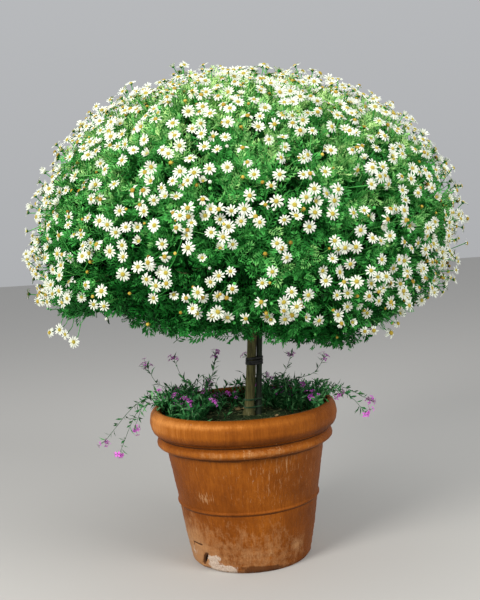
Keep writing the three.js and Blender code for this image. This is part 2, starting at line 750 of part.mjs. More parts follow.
// The top bough's core: the same slab as a round cap
function makeTopCore(draw) {
  const points = [];
  const faces = [];
  const rings = [[0]];
  points.push(crownPoint(0, Math.PI / 2, -CORE_DEPTH));
  for (let ring = 1; ring <= CAP_RINGS; ring += 1) {
    const line = [];
    const count = CAP_SIDES * ring;
    const elevation = Math.PI / 2 + ((CAP_ELEVATION + CAP_GAP - Math.PI / 2) * ring) / CAP_RINGS;
    for (let i = 0; i < count; i += 1) {
      const jitter = ring < CAP_RINGS ? 0.06 : 0;
      const azimuth = (i * 2 * Math.PI) / count + spread(draw, 0, jitter);
      const level = elevation + spread(draw, 0, jitter / 3);
      points.push(crownPoint(azimuth, level, -CORE_DEPTH + spread(draw, 0, CORE_LUMP)));
      line.push(points.length - 1);
    }
    rings.push(line);
  }
  for (let ring = 0; ring < CAP_RINGS; ring += 1) {
    for (let side = 0; side < CAP_SIDES; side += 1) {
      const near = (i) => rings[ring][(side * ring + i) % Math.max(1, CAP_SIDES * ring)];
      const far = (i) => rings[ring + 1][(side * (ring + 1) + i) % (CAP_SIDES * (ring + 1))];
      for (let i = 0; i <= ring; i += 1) {
        growTuft(points, faces, [near(i), far(i), far(i + 1)], tuftLength(draw), draw);
        if (i < ring) {
          growTuft(points, faces, [near(i), far(i + 1), near(i + 1)], tuftLength(draw), draw);
        }
      }
    }
  }
  const inner = [];
  for (let side = 0; side < CAP_SIDES; side += 1) {
    const azimuth = (side * 2 * Math.PI) / CAP_SIDES;
    points.push(crownPoint(azimuth, CAP_ELEVATION + CAP_GAP, -CORE_DEPTH - CAP_THICKNESS));
    inner.push(points.length - 1);
  }
  points.push(crownPoint(0, Math.PI / 2, -CORE_DEPTH - CAP_THICKNESS));
  const middle = points.length - 1;
  inner.forEach((corner, i) => {
    growTuft(points, faces, [middle, inner[(i + 1) % CAP_SIDES], corner], -INNER_TUFT, draw);
  });
  closeEdge(faces, rings[CAP_RINGS], inner);
  return solidFromArrays(points, faces);
}

// Sprays, evenly over the dome, each turned until it clears its neighbours
function growSpray(azimuth, elevation, turn, reach, seed, grow) {
  const place = placeOnCrown(azimuth, elevation, turn);
  const hub = crownPoint(azimuth, elevation, SPRAY_HUB_HEIGHT);
  const inward = CROWN_CENTRE.clone().sub(hub).normalize();
  const foot = hub.clone().addScaledVector(inward, SPRAY_FOOT_DEPTH + grow / 2);
  return makeSpray(place, {
    hub,
    foot,
    grow,
    reach,
    knotRadius: SPRAY_HUB_RADIUS,
    footRadius: SPRAY_FOOT_RADIUS,
    blooms: BLOOMS_ON_SPRAY,
    rise: BLOOM_HEIGHT - SPRAY_HUB_HEIGHT,
    riseRange: 6,
    bloomRadius: BLOOM_RADIUS,
    petals: BLOOM_PETALS,
    droop: BLOOM_DROOP,
    stalkRadius: STALK_RADIUS,
  }, seededDraw(seed));
}

const sprays = [];
for (let i = 0; i < SPRAY_COUNT; i += 1) {
  const azimuth = i * GOLDEN_ANGLE + 0.4;
  const elevation = evenElevation((i + 0.5) / SPRAY_COUNT, SPRAY_LOWEST);
  for (let attempt = 0; attempt < SPRAY_TRIES; attempt += 1) {
    const seed = 1000 + i * SPRAY_TRIES + attempt;
    const reach = SPRAY_REACH * 0.985 ** attempt;
    const wide = growSpray(azimuth, elevation, attempt * 0.4, reach, seed, 1);
    if (isClear(wide)) {
      claim(wide);
      sprays.push({
        solid: growSpray(azimuth, elevation, attempt * 0.4, reach, seed, 0),
        hole: growSpray(azimuth, elevation, attempt * 0.4, reach, seed, 0.7),
      });
      break;
    }
  }
}

// Leaf rosettes, evenly over the dome, each turned, lowered or shortened until it is clear
function makeRosette(root, centre, axis, length, turn, grow, draw) {
  const across = new THREE.Vector3(0, 0, 1).cross(axis).normalize();
  const side = axis.clone().cross(across);
  const points = [];
  for (let i = 0; i < 3; i += 1) {
    const angle = (i * 2 * Math.PI) / 3;
    const point = root.clone();
    point.addScaledVector(across, (LEAF_STEM_RADIUS + 0.8 + grow) * Math.cos(angle));
    point.addScaledVector(side, (LEAF_STEM_RADIUS + 0.8 + grow) * Math.sin(angle));
    points.push(point);
  }
  const faces = [[0, 2, 1]];
  growStar(points, faces, [0, 1, 2], centre, axis, {
    outline: leafOutline(ROSETTE_LEAVES, length + grow, 12, draw),
    turn,
    stemRadius: LEAF_STEM_RADIUS + grow,
    thickness: 5 + grow,
    crownRise: 3 + grow,
  });
  return solidFromArrays(points, faces);
}

function boughAt(azimuth, elevation) {
  if (elevation > CAP_ELEVATION + 0.05) {
    return boughs[BOUGH_COUNT];
  }
  const around = ((azimuth % (2 * Math.PI)) + 2 * Math.PI) % (2 * Math.PI);
  return boughs.slice(0, BOUGH_COUNT).find((bough) => {
    const margin = 0.05;
    const turnBack = (angle) => angle >= boundary(bough.from, elevation) + margin
      && angle <= boundary(bough.to, elevation) - margin;
    return turnBack(around) || turnBack(around - 2 * Math.PI) || turnBack(around + 2 * Math.PI);
  });
}

const rosettes = [];
for (let i = 0; i < ROSETTE_COUNT; i += 1) {
  const draw = seededDraw(7000 + i);
  for (let attempt = 0; attempt < ROSETTE_TRIES; attempt += 1) {
    const azimuth = i * GOLDEN_ANGLE + 2 + spread(draw, 0, 0.06);
    const even = evenElevation((i + 0.5) / ROSETTE_COUNT, CROWN_LOWEST + 0.06);
    const elevation = even + spread(draw, 0, 0.03);
    const bough = boughAt(azimuth, elevation);
    const nearCap = Math.abs(elevation - CAP_ELEVATION) < 0.05;
    const underEdge = elevation < crownLowest(azimuth) + 0.04;
    if (!bough || nearCap || underEdge) {
      continue;
    }
    const out = crownNormal(azimuth, elevation);
    const root = crownPoint(azimuth, elevation, -CORE_DEPTH - CORE_THICKNESS / 2);
    const height = spread(draw, -8 - attempt * 0.7, 8);
    const centre = crownPoint(azimuth, elevation, height);
    const axis = out.clone().add(new THREE.Vector3(spread(draw, 0, 0.2), spread(draw, 0, 0.2), 0.25));
    axis.normalize();
    const length = LEAF_LENGTH * spread(draw, 1, 0.08) * 0.99 ** attempt;
    const turn = draw() * 2 * Math.PI;
    const leafSeed = 9000 + i;
    const wide = makeRosette(root, centre, axis, length, turn, 0.8, seededDraw(leafSeed));
    if (isClear(wide)) {
      claim(wide);
      const solid = makeRosette(root, centre, axis, length, turn, 0, seededDraw(leafSeed));
      rosettes.push({ solid, bough });
      break;
    }
  }
}

// Assembly
const trunkHole = makeTrunk(HOLE_ROOM);
let wood = makeTrunk(0);
const branchHoles = [];
boughs.forEach((bough, index) => {
  wood = wood.add(tube(boughBranch(bough, index, 0), BRANCH_RADIUS, BRANCH_SIDES, BRANCH_STEPS));
  branchHoles.push(tube(boughBranch(bough, index, 0.4), BRANCH_RADIUS + 0.5, BRANCH_SIDES, BRANCH_STEPS));
});

function stakeSolid(grow) {
  const line = new THREE.LineCurve3(
    STAKE_FOOT.clone().add(new THREE.Vector3(0, 0, -grow)),
    STAKE_TOP.clone().add(new THREE.Vector3(0, 0, grow)),
  );
  return tube(line, STAKE_RADIUS + grow, STAKE_SIDES, 1);
}

function tieOutline(trunkRadius, stakeRadius, distance) {
  const steps = 5;
  const tangent = Math.acos((trunkRadius - stakeRadius) / distance);
  const outline = [];
  for (let i = 0; i <= steps; i += 1) {
    const angle = tangent + (i * 2 * (Math.PI - tangent)) / steps;
    outline.push(new THREE.Vector2(trunkRadius * Math.cos(angle), trunkRadius * Math.sin(angle)));
  }
  for (let i = 0; i <= steps - 1; i += 1) {
    const angle = -tangent + (i * 2 * tangent) / (steps - 1);
    const x = distance + stakeRadius * Math.cos(angle);
    outline.push(new THREE.Vector2(x, stakeRadius * Math.sin(angle)));
  }
  return outline;
}

// A tie round trunk and stake, square to the trunk
function makeTie(height, width) {
  const share = (height - STAKE_FOOT.z) / (STAKE_TOP.z - STAKE_FOOT.z);
  const stakeAt = STAKE_FOOT.clone().lerp(STAKE_TOP, share);
  const trunkAt = new THREE.Vector3(trunkLean(height), 0, height);
  const distance = trunkAt.distanceTo(stakeAt);
  const trunkSide = TRUNK_RADIUS + 0.6 + TIE_CLEARANCE;
  const stakeSide = STAKE_RADIUS + TIE_CLEARANCE;
  const inner = tieOutline(trunkSide, stakeSide, distance);
  const shape = new THREE.Shape(tieOutline(trunkSide + TIE_THICKNESS, stakeSide + TIE_THICKNESS, distance));
  shape.holes.push(new THREE.Path(inner.reverse()));
  const geometry = new THREE.ExtrudeGeometry(shape, { depth: width, bevelEnabled: false, steps: 1 });
  geometry.translate(0, 0, -width / 2);
  const lean = new THREE.Vector3(trunkLean(height + 5) - trunkLean(height - 5), 0, 10).normalize();
  const toStake = stakeAt.clone().sub(trunkAt);
  toStake.addScaledVector(lean, -toStake.dot(lean)).normalize();
  const frame = new THREE.Matrix4().makeBasis(toStake, lean.clone().cross(toStake), lean);
  geometry.applyMatrix4(frame);
  geometry.translate(trunkAt.x, trunkAt.y, trunkAt.z);
  return geometry;
}

// Small plants at the rim: a root in the soil, arching stems, narrow leaves and a head of florets
function edgeCurve(plantSite, stem) {
  const base = THREE.MathUtils.degToRad(plantSite.azimuth);
  const fan = (stem - (EDGE_STEMS - 1) / 2) * EDGE_STEM_FAN;
  const sideways = Math.abs(stem - (EDGE_STEMS - 1) / 2);
  const overRim = Math.min(1, plantSite.reach / EDGE_CROSSING_REACH);
  const crossing = (ROLL_RADIUS + 14 - EDGE_ROOT_RADIUS) * overRim;
  const route = [
    [EDGE_ROOT_RADIUS, SOIL_HEIGHT + 2, 0],
    [EDGE_ROOT_RADIUS + 12 * overRim, SOIL_HEIGHT + 40, 0.25],
    [EDGE_ROOT_RADIUS + 42 * overRim, RIM_HEIGHT + 22, 0.6],
    [
      EDGE_ROOT_RADIUS + crossing + plantSite.reach * 0.2,
      RIM_HEIGHT + 20 - Math.min(plantSite.drop, 60) * 0.2,
      0.85,
    ],
    [
      EDGE_ROOT_RADIUS + crossing - 10 * overRim + plantSite.reach * (1 - 0.25 * sideways),
      RIM_HEIGHT + 12 - plantSite.drop,
      1,
    ],
  ];
  return new THREE.CatmullRomCurve3(route.map(([radius, height, share]) => {
    const angle = base + fan * share;
    return new THREE.Vector3(radius * Math.cos(angle), radius * Math.sin(angle), height);
  }));
}

function narrowLeaf(base, way, flat, grow) {
  const side = way.clone().cross(flat).normalize();
  const middle = base.clone().addScaledVector(way, EDGE_LEAF_LENGTH * 0.45);
  const points = [
    base.clone(),
    middle.clone().addScaledVector(side, EDGE_LEAF_WIDTH / 2 + grow),
    base.clone().addScaledVector(way, EDGE_LEAF_LENGTH + grow),
    middle.clone().addScaledVector(side, -EDGE_LEAF_WIDTH / 2 - grow),
    middle.clone().addScaledVector(flat, EDGE_LEAF_THICKNESS / 2 + grow),
    middle.clone().addScaledVector(flat, -EDGE_LEAF_THICKNESS / 2 - grow),
  ];
  const faces = [];
  for (let i = 0; i < 4; i += 1) {
    const next = (i + 1) % 4;
    faces.push([i, next, 4], [next, i, 5]);
  }
  return solidFromArrays(points, faces);
}

const potSolid = makePot();
let low = potSolid;
const edgePlants = EDGE_PLANTS.map((plantSite, index) => {
  const draw = seededDraw(400 + index);
  const base = THREE.MathUtils.degToRad(plantSite.azimuth);
  const makeRoot = (grow) => {
    const height = EDGE_ROOT_LENGTH + grow;
    const [topRadius, footRadius] = [EDGE_CROWN_RADIUS + grow, EDGE_CROWN_RADIUS - 2 + grow];
    const geometry = new THREE.CylinderGeometry(topRadius, footRadius, height, 6);
    geometry.rotateX(Math.PI / 2);
    const middle = SOIL_HEIGHT + 6 - height / 2;
    geometry.translate(EDGE_ROOT_RADIUS * Math.cos(base), EDGE_ROOT_RADIUS * Math.sin(base), middle);
    return solidFromGeometry(geometry);
  };
  let solid = makeRoot(0);
  let tip = null;
  for (let stem = 0; stem < EDGE_STEMS; stem += 1) {
    const curve = edgeCurve(plantSite, stem);
    solid = solid.add(tube(curve, EDGE_STEM_RADIUS, 3, 5));
    if (stem === (EDGE_STEMS - 1) / 2) {
      tip = { at: curve.getPoint(1), way: curve.getTangent(1) };
    }
    for (let leaf = 0; leaf < EDGE_LEAVES; leaf += 1) {
      const along = 0.3 + (0.6 * (leaf + draw() * 0.5)) / EDGE_LEAVES;
      const way = curve.getTangent(along);
      const turned = new THREE.Vector3(0, 0, 1).cross(way).normalize();
      turned.multiplyScalar(leaf % 2 === 0 ? 1 : -1);
      const outward = turned.clone().addScaledVector(way, 0.7);
      outward.z += spread(draw, 0.45, 0.35);
      outward.normalize();
      const flat = way.clone().cross(outward).normalize();
      const wide = narrowLeaf(curve.getPoint(along), outward, flat, 0.6);
      if (!overlaps(wide, low)) {
        solid = solid.add(narrowLeaf(curve.getPoint(along), outward, flat, 0));
      }
    }
  }
  solid = largestBody(solid);
  low = low.add(solid);
  return { solid, root: makeRoot(HOLE_ROOM), tip };
});

function makeFloretHead(tip, index) {
  const foot = tip.at.clone().addScaledVector(tip.way, GAP);
  const hub = foot.clone().addScaledVector(tip.way, 7);
  const across = new THREE.Vector3(0, 0, 1).cross(tip.way).normalize();
  return makeSpray({ out: tip.way, across }, {
    hub,
    foot,
    grow: 0,
    reach: FLORET_REACH,
    knotRadius: 2.4,
    footRadius: 1.4,
    blooms: FLORETS,
    rise: FLORET_RISE,
    riseRange: 2,
    bloomRadius: FLORET_RADIUS,
    petals: FLORET_PETALS,
    droop: 1,
    stalkRadius: 0.8,
  }, seededDraw(600 + index));
}

addPiece('pot', geometryFromSolid(potSolid), COLOURS.terracotta, 0.85);
const standing = [trunkHole, stakeSolid(HOLE_ROOM), ...edgePlants.map((edgePlant) => edgePlant.root)];
addPiece('soil', geometryFromSolid(makeSoil(standing)), COLOURS.soil, 0.95);
addPiece('trunk', geometryFromSolid(wood), COLOURS.bark, 0.8);
addPiece('stake', geometryFromSolid(stakeSolid(0)), COLOURS.stake, 0.75);
addPiece('tie_tape', makeTie(TAPE_HEIGHT, TAPE_WIDTH), COLOURS.tape, 0.5);
STRING_HEIGHTS.forEach((height, index) => {
  addPiece(`tie_string_${index + 1}`, makeTie(height, STRING_WIDTH), COLOURS.string, 0.7);
});
boughs.forEach((bough, index) => {
  const draw = seededDraw(50 + index);
  let solid = bough.leader ? makeTopCore(draw) : makeSideCore(bough, draw);
  rosettes.filter((rosette) => rosette.bough === bough).forEach((rosette) => {
    solid = solid.add(rosette.solid);
  });
  sprays.forEach((spray) => {
    solid = solid.subtract(spray.hole);
  });
  solid = largestBody(solid.subtract(branchHoles[index]));
  addPiece(bough.name, geometryFromSolid(solid), COLOURS.leaf, 0.7);
});
sprays.forEach((spray, index) => {
  const name = `spray_${String(index + 1).padStart(2, '0')}`;
  addPiece(name, geometryFromSolid(spray.solid), COLOURS.petal, 0.6);
});
edgePlants.forEach((edgePlant, index) => {
  addPiece(`edge_plant_${index + 1}`, geometryFromSolid(edgePlant.solid), COLOURS.edgeLeaf, 0.7);
  const head = makeFloretHead(edgePlant.tip, index);
  addPiece(`edge_flowers_${index + 1}`, geometryFromSolid(head), COLOURS.edgeFlower, 0.6);
});

export default plant;
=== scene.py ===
# Potted standard marguerite daisy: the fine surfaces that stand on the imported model.
# Metres, +Z up, front towards -Y, origin at the centre of the pot's foot.

import math

import bpy
import numpy as np
from mathutils import Matrix, Vector


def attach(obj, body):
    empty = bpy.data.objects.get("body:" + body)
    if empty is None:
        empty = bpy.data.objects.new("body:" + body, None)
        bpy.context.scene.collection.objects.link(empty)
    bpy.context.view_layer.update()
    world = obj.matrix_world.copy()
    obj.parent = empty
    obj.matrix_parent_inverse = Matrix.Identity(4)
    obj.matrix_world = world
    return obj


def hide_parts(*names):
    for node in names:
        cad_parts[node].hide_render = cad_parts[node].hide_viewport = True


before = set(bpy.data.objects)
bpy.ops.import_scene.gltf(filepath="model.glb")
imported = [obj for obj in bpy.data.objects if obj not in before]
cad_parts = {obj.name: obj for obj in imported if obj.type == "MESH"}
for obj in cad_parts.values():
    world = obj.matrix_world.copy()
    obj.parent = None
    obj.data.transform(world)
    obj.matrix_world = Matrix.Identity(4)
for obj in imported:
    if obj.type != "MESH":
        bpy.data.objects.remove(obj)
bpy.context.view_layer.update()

draw = np.random.default_rng(20260)
TURN = 2 * math.pi
GOLDEN_ANGLE = math.pi * (3 - math.sqrt(5))
UP = np.array([0.0, 0.0, 1.0])

# Camera, fitted to the circles of the pot in the photograph
CAMERA_DISTANCE = 2.40
CAMERA_HEIGHT = 0.882
CAMERA_PITCH = math.radians(5.20)
CAMERA_YAW = math.radians(0.23)
CAMERA_ROLL = math.radians(-3.61)
CAMERA_LENS = 56.52

# Lights: place, the height on the pot's axis that they face, diameter, power and colour
LIGHTS = {
    "key": ((-2.5, -3.0, 2.65), 0.80, 1.8, 170, (1.0, 0.97, 0.92)),
    "fill": ((2.6, -2.6, 2.9), 1.0, 2.2, 98, (1.0, 0.99, 0.96)),
    "sky": ((-0.1, -0.2, 4.2), 0.8, 2.6, 16, (0.98, 1.0, 0.98)),
}
SKY_STRENGTH_BELOW = 0.37
SKY_STRENGTH_ABOVE = 0.64

# Pot
POT_SEGMENTS = 320
FOOT_RADIUS = 0.149
RIDGE_RADIUS = 0.182
RIDGE_HEIGHT = 0.159
BODY_TOP_RADIUS = 0.203
BODY_TOP_HEIGHT = 0.302
ROLL_FOOT_HEIGHT = 0.339
ROLL_RADIUS = 0.240
ROLL_HEIGHT = 0.369
RIM_HEIGHT = 0.400
MOUTH_RADIUS = 0.206
NOTCH_SLANT = 4.36

# Soil and its litter; dry leaves by place, heading and size
SOIL_HEIGHT = 0.364
SOIL_RADIUS = 0.1995
SOIL_RINGS = 36
SOIL_SPOKES = 100
CRUMB_COUNT = 900
CRUMB_SMALLEST = 0.0022
CRUMB_GROWTH = 0.0055
TWIG_BIT_COUNT = 130
TWIG_BIT_LENGTHS = (0.012, 0.055)
TWIG_BIT_RADII = (0.0005, 0.0011)
DRY_LEAVES = [
    ((-0.006, 0.075), 0.25, 0.030),
    ((-0.016, 0.092), 2.1, 0.020),
    ((0.085, -0.030), 1.1, 0.020),
    ((-0.105, -0.060), 2.7, 0.018),
]

# Trunk by height and radius, its knots by height and azimuth, and the branches and twigs. Here and below,
# levels are distances from the crown's surface, which are negative inside the crown
TRUNK_GIRTH = [
    (0.330, 0.0170), (0.360, 0.0160), (0.368, 0.0145), (0.375, 0.0130), (0.404, 0.0122),
    (0.500, 0.0120), (0.605, 0.0118), (0.634, 0.0145), (0.668, 0.0125), (0.677, 0.0040),
]
TRUNK_SIDES = 40
KNOTS = [(0.446, 2.4), (0.537, -1.9), (0.580, 0.7), (0.615, -2.8)]
BRANCH_STEPS = 15
BRANCH_RADII = (0.0068, 0.0042)
BRANCH_TIP_LEVEL = -0.068
BRANCH_BEND_LEVEL = -0.158
TWIGS_ON_BRANCH = 26
TWIG_RADII = (0.0034, 0.0016)
TWIG_TIP_LEVELS = (-0.085, -0.055)
SIDE_TWIGS_ON_TWIG = 3
SIDE_TWIG_RADII = (0.0018, 0.0009)
SIDE_TWIG_LENGTHS = (0.04, 0.11)
SIDE_TWIG_TIP_LEVEL = -0.045
TWIG_TIP_OVER_EDGE = 0.020
SIDE_TWIG_OVER_EDGE = 0.015

# Stake and ties
TRUNK_RADIUS = 0.0124
STAKE_RADIUS = 0.0075
STAKE_FOOT = np.array([0.023, 0.0085, 0.130])
STAKE_TOP = np.array([0.0577, 0.0085, 0.622])
TAPE_HEIGHT = 0.505
TAPE_WIDTH = 0.020
STRING_HEIGHTS = [0.386, 0.406]
STRING_WIDTH = 0.004
TIE_THICKNESS = 0.0020
TIE_POINTS = 48

# Crown
CROWN_CENTRE = np.array([0.044, 0.0, 0.812])
CROWN_LEAN = math.radians(3.5)
CROWN_RADIUS = 0.498
CROWN_UP = 0.382
CROWN_DOWN = 0.330
CROWN_POWER = 2.3
CROWN_SAG = 0.16
CROWN_SAG_TOP = math.radians(14)
CROWN_SHOULDER = 0.035
CROWN_LOWEST = math.radians(-23)
HOLLOW_AZIMUTH = math.radians(-138)
HOLLOW_WIDTH = math.radians(34)
HOLLOW_RISE = math.radians(5)
DIP_AZIMUTH = math.radians(-119)
DIP_WIDTH = math.radians(10)
DIP_ELEVATION = math.radians(-15)
DIP_HEIGHT = math.radians(6)
DROOP_AZIMUTH = math.radians(-50)
DROOP_WIDTH = math.radians(26)
DROOP_FALL = math.radians(5)
CAP_ELEVATION = math.radians(56)
BOUGH_COUNT = 7

# Leaves; the forms say how many pairs of lobes, and the lobes' length and half width on a leaf 1 long
SHOOT_COUNT = 1260
SHOOT_LENGTH = 0.082
SHOOT_ROOT_LEVELS = (-0.106, -0.078)
SHOOT_RADII = [0.0016, 0.0013, 0.0006]
SHOOT_LEAF = (5, 0.44, 0.031)
LEAVES_ON_SHOOT = 9
LEAF_LENGTH = 0.053
RIB_HALF_WIDTH = 0.016
INNER_LEAF_COUNT = 2600
INNER_LEAF_LENGTH = 0.095
INNER_LEAF_LEVELS = (-0.135, -0.055)
INNER_LEAF = (3, 0.52, 0.085)
FRINGE_LEAF_COUNT = 1750
FRINGE_LEAF_LENGTH = 0.058
FRINGE_LEAF = (4, 0.46, 0.062)
HANGING_LEAF = (5, 0.42, 0.050)

# Where leaves hang below the crown's lower edge: azimuth and spread in degrees, count and drop
HANGING_LEAVES = [(-113, 7, 120, 0.022), (-99, 5, 50, 0.012), (-68, 13, 250, 0.026)]

# Blooms
CLUSTER_COUNT = 824
TOP_CLUSTER_COUNT = 80
TOP_CLUSTER_LOWEST = math.radians(34)
BLOOM_LOWEST = math.radians(-21)
BLOOM_SPACING = 0.0225
BLOOM_OVER_EDGE = 0.040
BLOOM_LIMIT = 2500
BUNCH_RADIUS = 0.037
BUNCH_ODDS = [0.28, 0.30, 0.22, 0.13, 0.07]
BLOOM_TRIES = 8
HUB_LEVELS = (-0.058, -0.040)
STALK_LENGTHS = (0.068, 0.090)
STALK_RADII = [0.0011, 0.0010, 0.0010, 0.0012]
STALK_END_DEPTH = 0.0045
MAIN_STALK_LENGTH = 0.0275
MAIN_STALK_RADIUS = 0.0020
PETAL_LENGTH = 0.0104
PETAL_WIDTH = 0.0041
DISC_RADIUS = 0.0045

# Kinds of bloom: petals, their rise and fall in degrees, tint of the disc, missing petals, size of the disc,
# and how common the kind is
BLOOM_KINDS = [
    (12, 16, -8, 0.75, (), 1.0, 12),
    (13, 10, -14, 0.75, (), 1.0, 12),
    (11, 20, 2, 0.75, (), 1.0, 12),
    (12, 6, -22, 0.75, (), 1.0, 12),
    (13, 14, -4, 0.75, (), 1.0, 12),
    (10, 12, -12, 0.75, (), 1.0, 12),
    (12, 22, 6, 0.75, (), 1.0, 12),
    (11, 4, -26, 0.75, (), 1.0, 12),
    (12, 52, 34, 0.80, (), 0.85, 6),
    (11, 66, 50, 0.85, (), 0.80, 5),
    (12, -12, -60, 0.35, (3, 7), 1.12, 9),
    (11, -4, -46, 0.45, (), 1.1, 9),
    (12, 8, -20, 0.55, (1, 2, 3, 8), 1.05, 9),
    (12, 0, -40, 0.30, (0, 4, 5, 6, 9, 10), 1.12, 7),
]
BLOOM_SIZES = (0.84, 1.15)
SPENT_RADIUS = 0.0046
BUD_RADIUS = 0.0036

# Blooms that stand or hang out of the outline: azimuth and elevation in degrees, height over the leaves
STRAY_BLOOMS = [
    (-162.8, -22.9, 0.042), (-159.4, -22.8, 0.020), (-156.5, -24.0, 0.018), (-154.4, -26.4, 0.016),
    (-175, -3.0, 0.050), (-172, -5.5, 0.040), (178, 1.5, 0.050), (180, 19.0, 0.058), (176, 21.5, 0.052),
    (-59.0, -21.5, 0.044), (-55.1, -21.9, 0.044), (-42.9, -25.0, 0.046), (-42.3, -21.8, 0.042),
    (-67.5, -18.5, 0.034), (-64.3, -18.4, 0.036),
]

# Plants round the rim of the pot: azimuth in degrees, reach past the rim and drop below it
EDGE_PLANTS = [
    (178, 0.120, 0.095),
    (128, 0.060, -0.075),
    (62, 0.070, -0.060),
    (8, 0.095, 0.040),
    (222, 0.0, -0.022),
]
EDGE_STEMS = 3
EDGE_ROOT_RADIUS = 0.178
EDGE_CROSSING_REACH = 0.040

# Shorter stems inside the rim: the middle and width of each thicket in degrees, and its share of the stems
RIM_STEM_COUNT = 300
RIM_THICKETS = [(178, 30), (140, 26), (92, 20), (48, 30), (12, 26), (214, 14)]
RIM_SHARES = [0.24, 0.19, 0.07, 0.28, 0.17, 0.05]
REAR_GAP = (80, 98)
RIM_CLEARANCE = 0.008
RIM_STEM_LENGTHS = (0.040, 0.105)
RIM_FLOWERING_SHARE = 0.13
RIM_LEAF_SPACING = 0.0060
RIM_LEAF_LENGTHS = (0.013, 0.028)
FLORET_RADII = (0.0058, 0.0084)


# Directions, fadings and faces
def unit(vectors):
    vectors = np.asarray(vectors, dtype=np.float64)
    return vectors / np.maximum(np.linalg.norm(vectors, axis=-1, keepdims=True), 1e-9)


def polar(radius, azimuth, height=0.0):
    """Points round the Z axis."""
    return np.stack(np.broadcast_arrays(radius * np.cos(azimuth), radius * np.sin(azimuth), height), axis=-1)


def away_from(azimuth, middle):
    """The turn from a middle, at most half a turn either way."""
    return np.mod(azimuth - middle + math.pi, TURN) - math.pi


def near(away, reach):
    """1 in the middle of a stretch, fading to 0 at its ends."""
    return np.clip(1 - np.abs(away) / reach, 0, 1)


def near_angle(azimuth, degrees, half_width):
    return near(away_from(azimuth, math.radians(degrees)), math.radians(half_width))


def over(height, level, fade):
    """0 up to a level, rising to 1 over a short stretch."""
    return np.clip((height - level) / fade, 0, 1)


def under(height, level, fade):
    return np.clip((level - height) / fade, 0, 1)


def crossways(axes, steepest):
    """An axis well away from each given one: X for the steep ones, Z for the rest."""
    return np.where(np.abs(axes[:, 2:]) > steepest, [1.0, 0.0, 0.0], [0.0, 0.0, 1.0])


def frames_on(axes, spins):
    """Turned frames whose third axis is the given one."""
    axes = unit(axes)
    first = unit(np.cross(crossways(axes, 0.9), axes))
    second = np.cross(axes, first)
    cosine = np.cos(spins)[:, None]
    sine = np.sin(spins)[:, None]
    return np.stack([first * cosine + second * sine, second * cosine - first * sine, axes], axis=2)


def frames_along(ways, normals):
    """Frames whose second axis is the way a leaf points and whose third is its upper side."""
    ways = unit(ways)
    normals = unit(normals - ways * np.sum(normals * ways, axis=1, keepdims=True))
    return np.stack([np.cross(ways, normals), ways, normals], axis=2)


def bezier(start, bend, near_end, tip, steps):
    share = np.linspace(0, 1, steps)[:, None]
    return (
        start[..., None, :] * (1 - share) ** 3
        + bend[..., None, :] * 3 * share * (1 - share) ** 2
        + near_end[..., None, :] * 3 * share ** 2 * (1 - share)
        + tip[..., None, :] * share ** 3
    )


def smooth_path(points, steps):
    """A curve of a few steps through all the points."""
    padded = np.concatenate([[2 * points[0] - points[1]], points, [2 * points[-1] - points[-2]]])
    result = []
    for share in np.linspace(0, len(points) - 1 - 1e-6, steps):
        index = int(share)
        t = share - index
        p0, p1, p2, p3 = padded[index:index + 4]
        result.append(0.5 * (2 * p1 + (p2 - p0) * t + (2 * p0 - 5 * p1 + 4 * p2 - p3) * t ** 2
                             + (3 * p1 - p0 - 3 * p2 + p3) * t ** 3))
    return np.array(result)


def lattice(counts, closed=True, inward=False):
    """Two triangles for each cell of one or more grids of points, whose rows are rings if closed."""
    index = np.arange(np.prod(counts)).reshape(counts)
    if closed:
        index = np.concatenate([index, index[..., :1]], axis=-1)
    a, b = index[..., :-1, :-1], index[..., :-1, 1:]
    c, d = index[..., 1:, :-1], index[..., 1:, 1:]
    if inward:
        b, c = c, b
    return np.concatenate([np.stack(corners, axis=-1).reshape(-1, 3) for corners in ((a, b, d), (a, d, c))])


def fan(ring, apex):
    """A triangle from each edge of a ring of points to one more point."""
    ring = np.asarray(ring)
    return np.stack([ring, np.roll(ring, -1), np.full(len(ring), apex)], axis=1)


def set_colours(mesh, name, values):
    """Gives each point of a mesh four numbers that its materials read."""
    layer = mesh.color_attributes.new(name, "FLOAT_COLOR", "POINT")
    layer.data.foreach_set("color", values.astype(np.float32).ravel())


